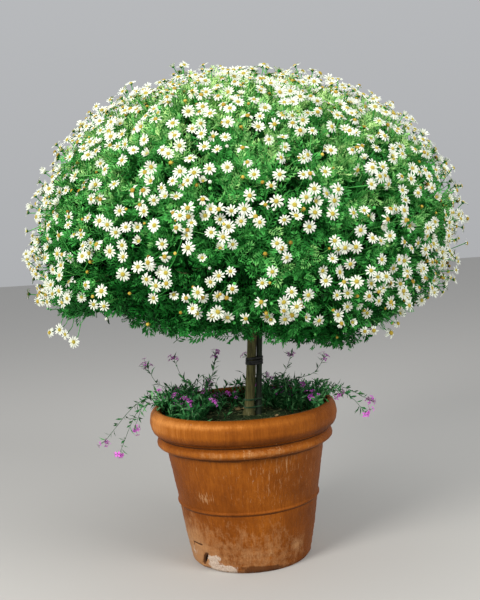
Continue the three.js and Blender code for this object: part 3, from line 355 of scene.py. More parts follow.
# Points with their tints and triangles with their material slots, of a small shape or of a whole piece
class Piece:
    def __init__(self):
        self.parts = []
        self.total = 0

    def add(self, points, faces, slot=0, tints=0.0):
        points = np.asarray(points, dtype=np.float32).reshape(-1, 3)
        faces = np.asarray(faces, dtype=np.int64).reshape(-1, 3)
        slots = np.broadcast_to(slot, len(faces)).astype(np.int32)
        tints = np.broadcast_to(tints, len(points)).astype(np.float32)
        self.parts.append((points, faces + self.total, slots, tints))
        self.total += len(points)

    def arrays(self):
        return [np.concatenate(column) for column in zip(*self.parts)]

    def scatter(self, shape, turns, places, sizes, tints):
        """Adds a turned and sized copy of a shape at each place."""
        count = len(places)
        if count == 0:
            return
        points, faces, slots, shades = shape.arrays()
        turned = np.einsum("kij,nj->kni", turns * sizes[:, None, None], points) + places[:, None]
        offsets = np.arange(count)[:, None, None] * len(points)
        self.add(turned, faces + offsets, np.tile(slots, count), (tints[:, None] + shades).ravel())

    def tubes(self, paths, radii, sides, slot, tints):
        """Adds a tube round each path."""
        paths = np.asarray(paths, dtype=np.float64)
        count, steps, _ = paths.shape
        radii = np.broadcast_to(radii, (count, steps))
        tangents = unit(np.gradient(paths, axis=1))
        chords = unit(paths[:, -1] - paths[:, 0])
        side = unit(np.cross(tangents, crossways(chords, 0.8)[:, None]))
        other = np.cross(tangents, side)
        angles = np.arange(sides)[:, None] * TURN / sides
        ring = side[:, :, None] * np.cos(angles) + other[:, :, None] * np.sin(angles)
        points = paths[:, :, None] + radii[:, :, None, None] * ring
        shades = np.repeat(np.broadcast_to(tints, count), steps * sides)
        self.add(points, lattice((count, steps, sides)), slot, shades)

    def make(self, name, materials):
        """Makes the Blender object, which rides on the one body."""
        points, faces, slots, tints = self.arrays()
        mesh = bpy.data.meshes.new(name)
        mesh.vertices.add(len(points))
        mesh.vertices.foreach_set("co", points.ravel())
        mesh.loops.add(faces.size)
        mesh.loops.foreach_set("vertex_index", faces.ravel().astype(np.int32))
        mesh.polygons.add(len(faces))
        mesh.polygons.foreach_set("loop_start", np.arange(0, faces.size, 3, dtype=np.int32))
        mesh.polygons.foreach_set("material_index", slots)
        mesh.polygons.foreach_set("use_smooth", np.ones(len(faces), dtype=bool))
        for material in materials:
            mesh.materials.append(material)
        set_colours(mesh, "tint", np.stack([tints, tints, tints, np.ones_like(tints)], axis=1))
        mesh.update(calc_edges=True)
        made = bpy.data.objects.new(name, mesh)
        bpy.context.scene.collection.objects.link(made)
        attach(made, "root")
        return made


def scatter_kinds(pieces, shapes, kinds, sectors, turns, places, sizes, tints):
    """Adds a shape of the given kind at each place, to the piece of its sector of the crown."""
    for sector, piece in enumerate(pieces):
        for kind, shape in enumerate(shapes):
            chosen = (sectors == sector) & (kinds == kind)
            piece.scatter(shape, turns[chosen], places[chosen], sizes[chosen], tints[chosen])


# The crown's surface
def bell(azimuth, middle, width):
    """1 at the middle azimuth, fading like a bell curve to both sides."""
    return np.exp(-(away_from(azimuth, middle) / width) ** 2)


def crown_distance(azimuth, elevation):
    """How far the surface lies from the crown's centre, before the crown's lean."""
    across = np.cos(elevation) / CROWN_RADIUS
    along = np.abs(np.sin(elevation)) / np.where(elevation > 0, CROWN_UP, CROWN_DOWN)
    dome = (across ** CROWN_POWER + along ** CROWN_POWER) ** (-1 / CROWN_POWER)
    lumps = 0.016 * np.sin(3 * azimuth + 0.6) + 0.012 * np.sin(5 * azimuth + 4 * elevation + 2)
    sag = CROWN_SAG * np.maximum(0, CROWN_SAG_TOP - elevation) * np.cos(azimuth)
    shoulder = CROWN_SHOULDER * np.maximum(0, np.cos(azimuth)) * np.maximum(0, np.sin(2 * elevation))
    return dome * (1 + lumps * np.cos(elevation) - sag - shoulder)


def crown_lowest(azimuth):
    """The elevation of the crown's lower edge, with its hollow and its droop."""
    hollow = HOLLOW_RISE * bell(azimuth, HOLLOW_AZIMUTH, HOLLOW_WIDTH)
    return CROWN_LOWEST + hollow - DROOP_FALL * bell(azimuth, DROOP_AZIMUTH, DROOP_WIDTH)


def in_shade(azimuth, elevation):
    """1 in the flowerless dip low on the front left, where leaves get painted shade, fading to 0 round it."""
    low = np.exp(-((elevation - DIP_ELEVATION) / DIP_HEIGHT) ** 2)
    return bell(azimuth, DIP_AZIMUTH, DIP_WIDTH) * low


def crown_point(azimuth, elevation, level):
    """The point at a level over or under the leaning surface."""
    distance = crown_distance(azimuth, elevation) + level
    x, y, z = np.moveaxis(polar(distance * np.cos(elevation), azimuth, distance * np.sin(elevation)), -1, 0)
    cosine, sine = math.cos(CROWN_LEAN), math.sin(CROWN_LEAN)
    return np.stack([x * cosine + z * sine, y, z * cosine - x * sine], axis=-1) + CROWN_CENTRE


def crown_normal(azimuth, elevation):
    step = 0.02
    below_top = np.minimum(elevation, math.pi / 2 - step)
    east = crown_point(azimuth + step, below_top, 0) - crown_point(azimuth - step, below_top, 0)
    north = crown_point(azimuth, below_top + step, 0) - crown_point(azimuth, below_top - step, 0)
    return unit(np.cross(east, north))


def crown_places(count, lowest, jitter):
    """Azimuths and elevations that share the crown's area evenly, a little disturbed."""
    elevations = np.linspace(math.pi / 2, lowest, 400)
    distance = crown_distance(np.full_like(elevations, math.pi / 2), elevations)
    across = distance * np.cos(elevations)
    slant = np.hypot(np.diff(across), np.diff(distance * np.sin(elevations)))
    area = np.concatenate([[0], np.cumsum((across[:-1] + across[1:]) / 2 * slant)])
    shares = (np.arange(count) + 0.5) / count * area[-1]
    elevation = np.interp(shares, area, elevations) + draw.normal(0, jitter, count)
    azimuth = np.arange(count) * GOLDEN_ANGLE
    azimuth = azimuth + draw.normal(0, 1, count) * jitter / np.maximum(np.cos(elevation), 0.2)
    down = under(elevation, CAP_ELEVATION, CAP_ELEVATION - CROWN_LOWEST)
    change = crown_lowest(azimuth) - CROWN_LOWEST
    elevation = np.clip(elevation, lowest - 0.03, math.pi / 2 - 0.01) + change * down
    return np.mod(azimuth, TURN), elevation


def crown_angles(points):
    offset = points - CROWN_CENTRE
    azimuth = np.arctan2(offset[..., 1], offset[..., 0])
    return azimuth, np.arctan2(offset[..., 2], np.hypot(offset[..., 0], offset[..., 1]))


def edge_height(points):
    """The height of the crown's lower edge, straight over or under each point."""
    azimuth, _ = crown_angles(points)
    return crown_point(azimuth, crown_lowest(azimuth), 0)[..., 2]


def lifted_to_edge(points, clearance):
    """The points, with those that hang too low lifted to a clearance over the crown's lower edge."""
    height = np.maximum(points[:, 2], edge_height(points) + clearance)
    return np.stack([points[:, 0], points[:, 1], height], axis=1)


def sector_of(points):
    """The bough over a point: 0 to 6 round the side, 7 for the top."""
    azimuth, elevation = crown_angles(points)
    side = (np.mod(azimuth, TURN) / (TURN / BOUGH_COUNT)).astype(int)
    return np.where(elevation > CAP_ELEVATION, BOUGH_COUNT, np.minimum(side, BOUGH_COUNT - 1))


# One material, and short words for the nodes that colour it
class Paint:
    def __init__(self, name, roughness, specular=0.4, sheen=0.0):
        self.material = bpy.data.materials.new(name)
        self.material.use_nodes = True
        self.tree = self.material.node_tree
        self.shader = self.tree.nodes["Principled BSDF"]
        self.put(self.shader, {"Roughness": roughness, "Specular IOR Level": specular, "Sheen Weight": sheen})

    def put(self, node, inputs):
        for key, value in inputs.items():
            if isinstance(value, bpy.types.NodeSocket):
                self.tree.links.new(value, node.inputs[key])
            else:
                node.inputs[key].default_value = value

    def node(self, kind, inputs, output=0, **settings):
        made = self.tree.nodes.new(kind)
        for key, value in settings.items():
            setattr(made, key, value)
        self.put(made, inputs)
        return made.outputs[output]

    def place(self, stretch=1.0):
        """The place on the object; a stretch under 1 draws patterns out along Z."""
        place = self.node("ShaderNodeTexCoord", {}, "Object")
        return self.node("ShaderNodeMapping", {"Vector": place, "Scale": (1, 1, stretch)})

    def noise(self, scale, detail=3.0, roughness=0.55, stretch=1.0):
        inputs = {"Vector": self.place(stretch), "Scale": scale, "Detail": detail, "Roughness": roughness}
        return self.node("ShaderNodeTexNoise", inputs, "Fac")

    def tint(self):
        return self.node("ShaderNodeAttribute", {}, "Fac", attribute_name="tint")

    def total(self, offset, *parts):
        """An offset plus the sum of parts, each a value and its weight."""
        for value, weight in parts:
            offset = self.node("ShaderNodeMath", {0: value, 1: weight, 2: offset}, operation="MULTIPLY_ADD")
        return offset

    def ramp(self, factor, *stops):
        made = self.tree.nodes.new("ShaderNodeValToRGB")
        self.put(made, {"Fac": factor})
        elements = made.color_ramp.elements
        while len(elements) < len(stops):
            elements.new(0.5)
        for element, (at, colour) in zip(elements, stops):
            element.position = at
            element.color = (*colour, 1)
        return made.outputs["Color"]

    def blend(self, factor, first, second, mode="MIX"):
        colours = [(*colour, 1) if isinstance(colour, tuple) else colour for colour in (first, second)]
        inputs = {0: factor, 6: colours[0], 7: colours[1]}
        return self.node("ShaderNodeMix", inputs, 2, data_type="RGBA", blend_type=mode)

    def finish(self, colour, height, depth):
        """Gives the shader its colour and its small relief."""
        relief = self.node("ShaderNodeBump", {"Height": height, "Distance": depth, "Strength": 1.0})
        self.put(self.shader, {"Base Color": colour, "Normal": relief})
        return self.material


def noise_paint(name, roughness, specular, tinted, offset, mottles, relief, depth, *stops):
    """A material shaded by its tint and by weighted noises of (scale, detail, roughness, stretch)."""
    paint = Paint(name, roughness, specular)
    parts = [(paint.noise(*mottle), weight) for mottle, weight in mottles]
    if tinted:
        parts.append((paint.tint(), 1.0))
    return paint.finish(paint.ramp(paint.total(offset, *parts), *stops), paint.noise(*relief), depth)


def leaf_paint(name, *stops):
    return noise_paint(name, 0.5, 0.12, True, -0.15, [((14, 2), 0.3)], (420, 2), 0.0006, *stops)


def bark_paint(name, roughness, stripe, dark, middle, pale):
    stripes = (stripe, 5, 0.65, 0.045)
    mottles = [(stripes, 0.75), ((34, 3, 0.55, 0.5), 0.35)]
    stops = [(0.30, dark), (0.52, middle), (0.74, pale)]
    return noise_paint(name, roughness, 0.3, True, 0.0, mottles, stripes, 0.0022, *stops)


leaf_green = leaf_paint(
    "leaf_green",
    (0.0, (0.001, 0.026, 0.003)), (0.3, (0.011, 0.155, 0.020)),
    (0.6, (0.085, 0.460, 0.090)), (1.0, (0.600, 0.880, 0.340)),
)
rim_green = leaf_paint(
    "rim_green",
    (0.0, (0.004, 0.050, 0.012)), (0.5, (0.036, 0.215, 0.054)), (1.0, (0.300, 0.600, 0.280)),
)
# The low, greenish end of this ramp is painted shade, shown at the petal bases
petal_white = noise_paint(
    "petal_white", 0.55, 0.3, True, 0.0, [], (900, 2), 0.0003,
    (0.0, (0.42, 0.48, 0.20)), (0.35, (0.62, 0.66, 0.50)), (1.0, (0.73, 0.76, 0.69)),
)
spent_brown = noise_paint(
    "spent_brown", 0.85, 0.2, True, -0.5, [((500, 3), 1.0)], (900, 2), 0.0006,
    (0.0, (0.12, 0.065, 0.012)), (0.5, (0.42, 0.28, 0.032)), (1.0, (0.68, 0.54, 0.10)),
)
floret_purple = noise_paint(
    "floret_purple", 0.6, 0.3, True, 0.0, [], (800, 2), 0.0003,
    (0.0, (0.30, 0.025, 0.32)), (0.5, (0.68, 0.095, 0.66)), (1.0, (0.90, 0.38, 0.86)),
)
bark_brown = bark_paint(
    "bark_brown", 0.85, 260, (0.028, 0.025, 0.010), (0.150, 0.145, 0.052), (0.38, 0.35, 0.19),
)
stake_dark = bark_paint(
    "stake_dark", 0.7, 330, (0.005, 0.008, 0.005), (0.022, 0.034, 0.020), (0.075, 0.095, 0.060),
)
tape_black = noise_paint(
    "tape_black", 0.42, 0.5, False, 0.0, [((90, 3), 1.0)], (160, 2, 0.55, 6), 0.0008,
    (0.35, (0.006, 0.007, 0.007)), (0.7, (0.03, 0.032, 0.03)),
)
soil_dark = noise_paint(
    "soil_dark", 0.95, 0.2, True, 0.0, [((150, 6, 0.7), 0.7)], (150, 6, 0.7), 0.006,
    (0.25, (0.010, 0.024, 0.007)), (0.45, (0.055, 0.092, 0.034)),
    (0.62, (0.200, 0.220, 0.100)), (0.85, (0.600, 0.480, 0.260)),
)
dry_tan = noise_paint(
    "dry_tan", 0.8, 0.25, False, 0.0, [((120, 4), 1.0)], (400, 2), 0.001,
    (0.3, (0.16, 0.085, 0.03)), (0.55, (0.42, 0.29, 0.13)), (0.75, (0.62, 0.50, 0.28)),
)


def disc_paint():
    paint = Paint("disc_yellow", 0.75, 0.25)
    cells = paint.node("ShaderNodeTexVoronoi", {"Vector": paint.place(), "Scale": 1100.0}, "Distance")
    shade = paint.ramp(
        paint.tint(), (0.0, (0.36, 0.22, 0.02)), (0.4, (0.57, 0.45, 0.05)), (1.0, (0.61, 0.59, 0.10)),
    )
    between = paint.ramp(cells, (0.0, (1.0, 1.0, 1.0)), (0.6, (0.72, 0.62, 0.5)))
    return paint.finish(paint.blend(1.0, shade, between, "MULTIPLY"), paint.total(1.0, (cells, -1.0)), 0.0006)


def string_paint():
    paint = Paint("string_green", 0.85, 0.2, 0.2)
    inputs = {"Vector": paint.place(), "Scale": 420.0, "Distortion": 2.0}
    fibres = paint.node("ShaderNodeTexWave", inputs, "Fac")
    colour = paint.ramp(fibres, (0.2, (0.010, 0.060, 0.022)), (0.8, (0.05, 0.19, 0.07)))
    return paint.finish(colour, fibres, 0.0006)


def clay_paint():
    """Terracotta with rain streaks; make_pot marks where its chalk, salt, flakes, damp and painted shade are.
    """
    paint = Paint("terracotta", 0.55, 0.18)
    paint.put(paint.shader, {"Specular Tint": (1.0, 0.72, 0.45, 1)})
    speckle = paint.noise(220, 4, 0.7)
    blotches = paint.noise(42, 5, 0.65)
    mottle = paint.noise(60, 6, 0.7, 0.55)
    streaks = paint.noise(300, 3, 0.6, 0.035)
    wide_streaks = paint.noise(120, 4, 0.65, 0.035)
    drips = paint.noise(280, 3, 0.6, 0.02)
    clouds = paint.noise(7, 5, 0.6)
    # The tint is make_pot's painted light; the palest stop shows mostly at its painted highlights.
    shade = paint.total(-0.5, (clouds, 0.50), (streaks, 0.24), (wide_streaks, 0.26), (paint.tint(), 1.0))
    colour = paint.ramp(
        shade,
        (0.32, (0.115, 0.027, 0.002)), (0.50, (0.205, 0.052, 0.004)),
        (0.68, (0.335, 0.098, 0.009)), (0.90, (0.640, 0.250, 0.058)),
    )
    marks = paint.node("ShaderNodeAttribute", {}, "Color", attribute_name="marks")
    chalk = paint.node("ShaderNodeAttribute", {}, "Alpha", attribute_name="marks")
    salt, damp_and_shade, flake = (paint.node("ShaderNodeSeparateColor", {"Color": marks}, index) for index in range(3))
    bare = paint.ramp(speckle, (0.35, (0.46, 0.36, 0.28)), (0.65, (0.72, 0.63, 0.54)))
    # Each layer: its colour and strength, where it is full, and the offset and parts of the sum that shows it
    layers = [
        ((0.46, 0.235, 0.100), 0.80, 1.0, -2.38, (chalk, 1.5), (mottle, 2.4), (speckle, 0.9), (streaks, 0.4)),
        ((0.56, 0.33, 0.16), 0.60, 1.0, -3.60, (salt, 1.0), (drips, 4.6), (speckle, 1.0)),
        (bare, 0.80, 0.25, -1.95, (flake, 1.0), (blotches, 2.4), (speckle, 0.5)),
        # Dark brown where damp stains and painted shade are
        ((0.080, 0.024, 0.007), 0.85, 0.3, -1.45, (damp_and_shade, 1.0), (blotches, 1.6), (speckle, 0.5)),
        # Near black only at the deepest painted shade: the groove and ridge lines, the mouth's inner wall,
        # the notch and the crack
        ((0.012, 0.005, 0.003), 1.0, 1.0, -2.4, (damp_and_shade, 2.0)),
    ]
    for layer, strength, full, offset, *parts in layers:
        mask = paint.ramp(paint.total(offset, *parts), (0.0, (0, 0, 0)), (full, (1, 1, 1)))
        colour = paint.blend(paint.total(0.0, (mask, strength)), colour, layer)
    return paint.finish(colour, paint.total(0.0, (streaks, 0.5), (speckle, 1.0)), 0.0012)


disc_yellow = disc_paint()
string_green = string_paint()
terracotta = clay_paint()

# The outside of the pot between its body and its roll: radius and height round the band and its groove
BAND_PROFILE = [
    (BODY_TOP_RADIUS, 0.2998), (0.2045, 0.3008), (0.2110, 0.3018), (0.2170, 0.3036), (0.2218, 0.3066),
    (0.2246, 0.3102), (0.2258, 0.3142), (0.2254, 0.3182), (0.2238, 0.3218), (0.2212, 0.3248),
    (0.2182, 0.3272), (0.2158, 0.3288), (0.2148, 0.3300), (0.2160, 0.3314), (0.2185, 0.3324),
    (0.2200, 0.3338), (0.2198, 0.3352), (0.2200, 0.3364), (0.2225, 0.3376), (0.2268, 0.3390),
]

# Pale drips down the front: azimuth and half width in degrees, middle height and half height
PALE_DRIPS = [
    (-68.0, 0.8, 0.262, 0.034), (-60.5, 0.7, 0.275, 0.030), (-74.5, 0.8, 0.247, 0.036),
    (-69.0, 1.3, 0.319, 0.012), (-91.0, 1.1, 0.316, 0.018), (-87.5, 0.9, 0.319, 0.013),
    (-84.7, 1.5, 0.092, 0.005),
]

# Patches on the pot: amount, azimuth and half width in degrees, middle height and half height, and the powers
# of their fading sideways and upwards
PATCHES = {
    "chip": [(0.0040, -137, 9, 0.0, 0.010, 1, 1), (0.0016, -124, 18, 0.014, 0.018, 1, 1)],
    "crack": [(1.0, -145, 7.5, 0.0662, 0.0028, 0.5, 1), (0.4, -151.5, 1.6, 0.060, 0.007, 1, 0.5)],
    # Painted highlights along the roll's top front and along the band's bulge
    "painted_light": [(0.20, -110, 70, 0.387, 0.010, 0.5, 1), (0.22, -100, 75, 0.315, 0.011, 0.5, 1)],
    "chalk": [
        (0.40, -145, 18, 0.060, 0.060, 1, 1),
        (0.60, -44, 11, 0.055, 0.034, 1, 1),
        (0.80, -152, 12, 0.040, 0.034, 0.5, 0.5),
        (0.62, -88, 60, 0.315, 0.013, 0.5, 0.5),
    ],
    "salt": [
        (0.60, -88, 17, 0.048, 0.014, 0.5, 1),
        (1.75, -125.5, 9.5, 0.198, 0.017, 0.6, 0.6),
        (0.30, -44, 11, 0.055, 0.034, 1, 1),
        *[(1.1, *drip, 0.5, 0.5) for drip in PALE_DRIPS],
    ],
    "flake": [(0.55, -151.5, 10, 0.040, 0.032, 0.4, 0.5)],
}

# Painted shade: dark lines round the pot, in the groove and under band and ridge: amount, height and half
# height
PAINTED_SHADE_LINES = [(1.7, 0.3300, 0.0030), (1.6, 0.3000, 0.0035), (1.25, 0.1542, 0.0032)]


# Pot: a turned profile with slight throwing lines, a chipped foot and a crack
def pot_profile():
    profile = [
        (FOOT_RADIUS * 0.5, 0.0), (FOOT_RADIUS - 0.003, 0.0),
        (FOOT_RADIUS - 0.0005, 0.001), (FOOT_RADIUS + 0.0012, 0.004),
    ]
    levels = [0.008, 0.080, RIDGE_HEIGHT, BODY_TOP_HEIGHT]
    radii = [FOOT_RADIUS + 0.005, 0.168, RIDGE_RADIUS - 0.0025, BODY_TOP_RADIUS]
    foot, low = np.linspace(0.008, 0.072, 24), np.linspace(0.078, 0.148, 9)
    ridge, high = np.linspace(0.151, 0.167, 15), np.linspace(0.172, 0.2985, 17)
    for height in np.concatenate([foot, low, ridge, high]):
        bead = 0.0038 * math.exp(-((height - RIDGE_HEIGHT) / 0.0026) ** 4)
        profile.append((np.interp(height, levels, radii) + bead, height))
    profile += BAND_PROFILE
    reach = (ROLL_RADIUS - MOUTH_RADIUS) / 2
    for angle in np.linspace(-1.10, math.pi, 26):
        radius = ROLL_RADIUS - reach + reach * math.cos(angle)
        profile.append((radius, ROLL_HEIGHT + (RIM_HEIGHT - ROLL_HEIGHT) * math.sin(angle)))
    profile += [(0.2035, 0.3620), (0.2005, 0.3520), (0.1985, 0.3400), (0.1950, 0.3300)]
    return np.array(profile)


def patches(kind, around, height):
    """How strongly each patch of a kind shows, at each point of the pot."""
    return [
        amount * near_angle(around, degrees, width) ** side_power * near(height - middle, half) ** up_power
        for amount, degrees, width, middle, half, side_power, up_power in PATCHES[kind]
    ]


def pot_marks(radius, around, height, notch, crack, on_roll):
    """Salt, damp and painted shade, flake and chalk at each point of the pot."""
    ridge_top = RIDGE_HEIGHT + 0.006
    lower = under(height, ridge_top, 0.110)
    above = over(height, ridge_top, 0.02) * under(height, ROLL_FOOT_HEIGHT + 0.001, 0.01)
    left = under(around, TURN - math.radians(112), math.radians(38))
    chalk = 0.20 * under(height, ridge_top, 0.006) + 0.44 * lower + 0.40 * lower * left - 0.6 * on_roll
    chalk += sum(patches("chalk", around, height)) - 0.48 * near_angle(around, -22, 50)
    salt = 0.02 + 0.12 * lower + 0.42 * near_angle(around, -60, 50) ** 0.3 * above - 0.30 * on_roll
    salt += sum(patches("salt", around, height))
    damp_top = 0.027 - 0.010 * (around + 1.8 - TURN)
    damp_and_shade = 0.95 * near_angle(around, -80, 26) ** 0.4 * under(height, damp_top, 0.008)
    # Painted shade in the notch and along the crack
    damp_and_shade = damp_and_shade + 2.6 * notch + 1.9 * crack
    # Painted shade lines in the groove and under band and ridge
    damp_and_shade += sum(amount * near(height - middle, half_height) for amount, middle, half_height in PAINTED_SHADE_LINES)
    # Painted shade on the inner wall of the mouth
    damp_and_shade += 1.9 * (radius < MOUTH_RADIUS + 0.003) * over(height, 0.325, 0.01)
    # The rim's inner side darker at the rear
    damp_and_shade += 0.9 * near_angle(around, 90, 60) ** 0.5 * (radius < 0.215) * on_roll
    flake = 1.05 * near_angle(around, -126.5, 10.5) ** 0.4 * under(height, 0.050, 0.010)
    flake += 0.95 * near_angle(around, -110.5, 8) ** 0.4 * under(height, 0.026, 0.008)
    flake += sum(patches("flake", around, height))
    return np.stack([salt, damp_and_shade, flake * (notch < 0.2), chalk], axis=-1).reshape(-1, 4)


def make_pot():
    profile = pot_profile()
    azimuth = np.arange(POT_SEGMENTS) * TURN / POT_SEGMENTS
    around, height = np.broadcast_arrays(azimuth, profile[:, 1:])
    hand = 0.0011 * np.sin(2 * around + 0.4) + 0.0007 * np.sin(3 * around + 9 * height)
    lines = 0.00025 * np.sin(height * 900) + 0.0003 * np.sin(height * 330 + 2 * around)
    notch = near_angle(around + NOTCH_SLANT * (0.0445 - height), -134.8, 2.8) ** 0.5
    notch = notch * near(height - 0.028, 0.020) ** 0.5
    crack = np.minimum(1, 2 * np.maximum(*patches("crack", around, height)))
    radius = profile[:, :1] + np.where(height > 0.002, hand + lines, 0)
    radius = radius - 0.011 * notch - 0.0025 * crack - sum(patches("chip", around, height))
    on_roll = over(height, ROLL_FOOT_HEIGHT, 0.006)
    # Painted light: the roll lighter, most towards the left, with painted highlights, and painted shade under
    # the roll and on the lower right of the body
    painted_light = 0.5 + on_roll * (0.06 + 0.16 * near_angle(around, -155, 62) + 0.04 * near_angle(around, -112, 50))
    painted_light += sum(patches("painted_light", around, height)) - 0.22 * near(height - 0.3455, 0.014)
    painted_light -= 0.10 * near_angle(around, -35, 42) * under(height, RIDGE_HEIGHT + 0.006, 0.030)
    piece = Piece()
    points = np.concatenate([polar(radius, around, height).reshape(-1, 3), [[0, 0, 0]]])
    floor = fan(np.arange(POT_SEGMENTS)[::-1], len(points) - 1)
    piece.add(points, np.concatenate([lattice(height.shape), floor]), 0, np.append(painted_light, 0.5))
    pot = piece.make("clay_pot", [terracotta])
    marks = pot_marks(radius, around, height, notch, crack, on_roll)
    set_colours(pot.data, "marks", np.concatenate([marks, np.zeros((1, 4))]))
    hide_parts("pot")


# Soil, and the litter and dry leaves on it
def on_soil(x, y, lift=0.0):
    slope = -0.006 * (np.hypot(x, y) / SOIL_RADIUS) ** 2
    waves = 0.0022 * np.sin(61 * x + 2) * np.sin(53 * y + 1) + 0.0012 * np.sin(170 * x + 90 * y)
    return np.stack([x, y, SOIL_HEIGHT + slope + waves + lift], axis=-1)


def make_soil():
    share = (np.arange(1, SOIL_RINGS + 1)[:, None] / SOIL_RINGS) ** 0.75
    around = np.arange(SOIL_SPOKES) * TURN / SOIL_SPOKES
    crumb = draw.normal(0, 0.0011, (SOIL_RINGS, SOIL_SPOKES)) * (share < 1)
    x, y = SOIL_RADIUS * share * np.cos(around), SOIL_RADIUS * share * np.sin(around)
    points = np.concatenate([on_soil(x, y, crumb).reshape(-1, 3), [on_soil(0.0, 0.0)]])
    middle = fan(np.arange(SOIL_SPOKES), len(points) - 1)
    piece = Piece()
    piece.add(points, np.concatenate([lattice(x.shape, inward=True), middle]), 0, 0.02)
    soil = piece.make("potting_soil", [soil_dark])
    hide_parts("soil")


def crumb_shape():
    shape = Piece()
    ring = [(math.cos(angle), 0.55 * math.sin(angle), 0.0) for angle in np.arange(5) * TURN / 5]
    points = [*ring, (0.1, 0.0, 0.32), (0.0, 0.05, -0.3)]
    faces = np.concatenate([fan(range(5), 5), fan(range(5)[::-1], 6)])
    shape.add(points, faces, 0, [0, 0, 0, 0, 0, 0.05, 0.05])
    return shape


def spread_on_soil(count, share):
    """Radii and azimuths of loose bits that lie evenly on the inner share of the soil."""
    return SOIL_RADIUS * share * np.sqrt(draw.random(count)), draw.random(count) * TURN


def add_crumbs(piece):
    count = CRUMB_COUNT
    radius, around = spread_on_soil(count, 0.975)
    places = on_soil(radius * np.cos(around), radius * np.sin(around), 0.001)
    axes = np.stack([draw.normal(0, 0.45, count), draw.normal(0, 0.45, count), np.ones(count)], axis=-1)
    sizes = CRUMB_SMALLEST + CRUMB_GROWTH * draw.random(count) ** 2.2
    turns = frames_on(axes, draw.random(count) * TURN)
    piece.scatter(crumb_shape(), turns, places, sizes, draw.uniform(-0.08, 0.22, count))


def add_twig_bits(piece):
    count = TWIG_BIT_COUNT
    radius, around = spread_on_soil(count, 0.93)
    heading = draw.random(count) * TURN
    length = draw.uniform(*TWIG_BIT_LENGTHS, count)
    along = np.linspace(-0.5, 0.5, 4)
    x = (radius * np.cos(around))[:, None] + np.outer(length * np.cos(heading), along)
    y = (radius * np.sin(around))[:, None] + np.outer(length * np.sin(heading), along)
    inside = np.hypot(x, y).max(axis=1) < SOIL_RADIUS * 0.97
    lift = draw.uniform(0.001, 0.004, count)[:, None] + draw.normal(0, 0.0012, (count, 4))
    paths = on_soil(x, y, lift)[inside]
    radii = draw.uniform(*TWIG_BIT_RADII, len(paths))[:, None]
    piece.tubes(paths, radii, 4, 0, draw.uniform(0.02, 0.24, len(paths)))


def make_litter():
    piece = Piece()
    add_crumbs(piece)
    add_twig_bits(piece)
    litter = piece.make("soil_litter", [soil_dark])


def make_dry_leaves():
    piece = Piece()
    along = np.linspace(0, 1, 9)[:, None]
    columns = np.linspace(-1.0, 1.0, 5)
    half = 0.32 * np.sin(math.pi * np.clip(along * 0.96 + 0.03, 0, 1)) ** 0.8
    curl = 0.10 * columns ** 2 * half / 0.32 + 0.12 * (along - 0.5) ** 2 + 0.07 * np.sin(9 * along) * columns
    for place, heading, size in DRY_LEAVES:
        x = (along - 0.5) * size * np.ones(5)
        y = half * columns * size
        z = size * (curl - curl.min()) + 0.003
        cosine, sine = math.cos(heading), math.sin(heading)
        points = np.stack([x * cosine - y * sine, x * sine + y * cosine, z], axis=-1) + on_soil(*place)
        piece.add(points, lattice(z.shape, closed=False, inward=True), 0, 0.5)
    leaves = piece.make("dry_leaves", [dry_tan])


# Trunk, branches and twigs
def trunk_lean(height):
    rise = height - SOIL_HEIGHT
    return 0.014 + 0.118 * rise - 0.096 * rise * rise


def add_trunk(piece):
    low = [0.330, 0.350, 0.360, 0.366, 0.372, 0.380, 0.392]
    heights = np.concatenate([low, np.linspace(0.404, 0.677, 46)])[:, None]
    around = np.arange(TRUNK_SIDES) * TURN / TRUNK_SIDES
    ridges = 1 + 0.035 * np.sin(5 * around + 14 * heights) + 0.02 * np.sin(11 * around - 40 * heights)
    flare = 1 + 0.12 * under(heights, 0.395, 0.03) * np.sin(4 * around + 1)
    radius = np.interp(heights, *zip(*TRUNK_GIRTH)) * ridges * flare
    for height, azimuth in KNOTS:
        away = away_from(around, azimuth)
        radius = radius + 0.0022 * np.exp(-(away / 0.45) ** 2 - ((heights - height) / 0.008) ** 2)
    points = polar(radius, around, heights)
    points[..., 0] += trunk_lean(heights)
    # Painted shade: the trunk darker above the tape, under the crown
    shades = np.where(heights < TAPE_HEIGHT, -0.05, -0.10)
    piece.add(points, lattice(radius.shape), 0, np.repeat(shades, TRUNK_SIDES))


def branch_paths():
    """A branch from the trunk's head into each bough."""
    paths = []
    for index in range(BOUGH_COUNT + 1):
        if index == BOUGH_COUNT:
            azimuth, elevation, start_height = math.pi, 1.35, 0.662
        else:
            azimuth = (index + 0.5) * TURN / BOUGH_COUNT
            elevation = 0.3 + 0.12 * (index % 3)
            start_height = 0.632 + 0.008 * (index % 4)
        tip = crown_point(azimuth, elevation, BRANCH_TIP_LEVEL)
        near_end = crown_point(azimuth, elevation, BRANCH_BEND_LEVEL)
        start = np.array([trunk_lean(start_height), 0.0, start_height])
        bend = start + unit((tip - start) * [1, 1, 0]) * 0.070 + UP * 0.060
        paths.append(bezier(start, bend, near_end, tip, BRANCH_STEPS))
    return np.array(paths)


def make_wood():
    piece = Piece()
    add_trunk(piece)
    branches = branch_paths()
    wander = draw.normal(0, 0.0012, branches.shape)
    wander[:, :2] = 0
    piece.tubes(branches + wander, np.linspace(*BRANCH_RADII, BRANCH_STEPS), 8, 0, 0.05)
    trunk = piece.make("trunk_wood", [bark_brown])
    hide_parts("trunk")
    return branches


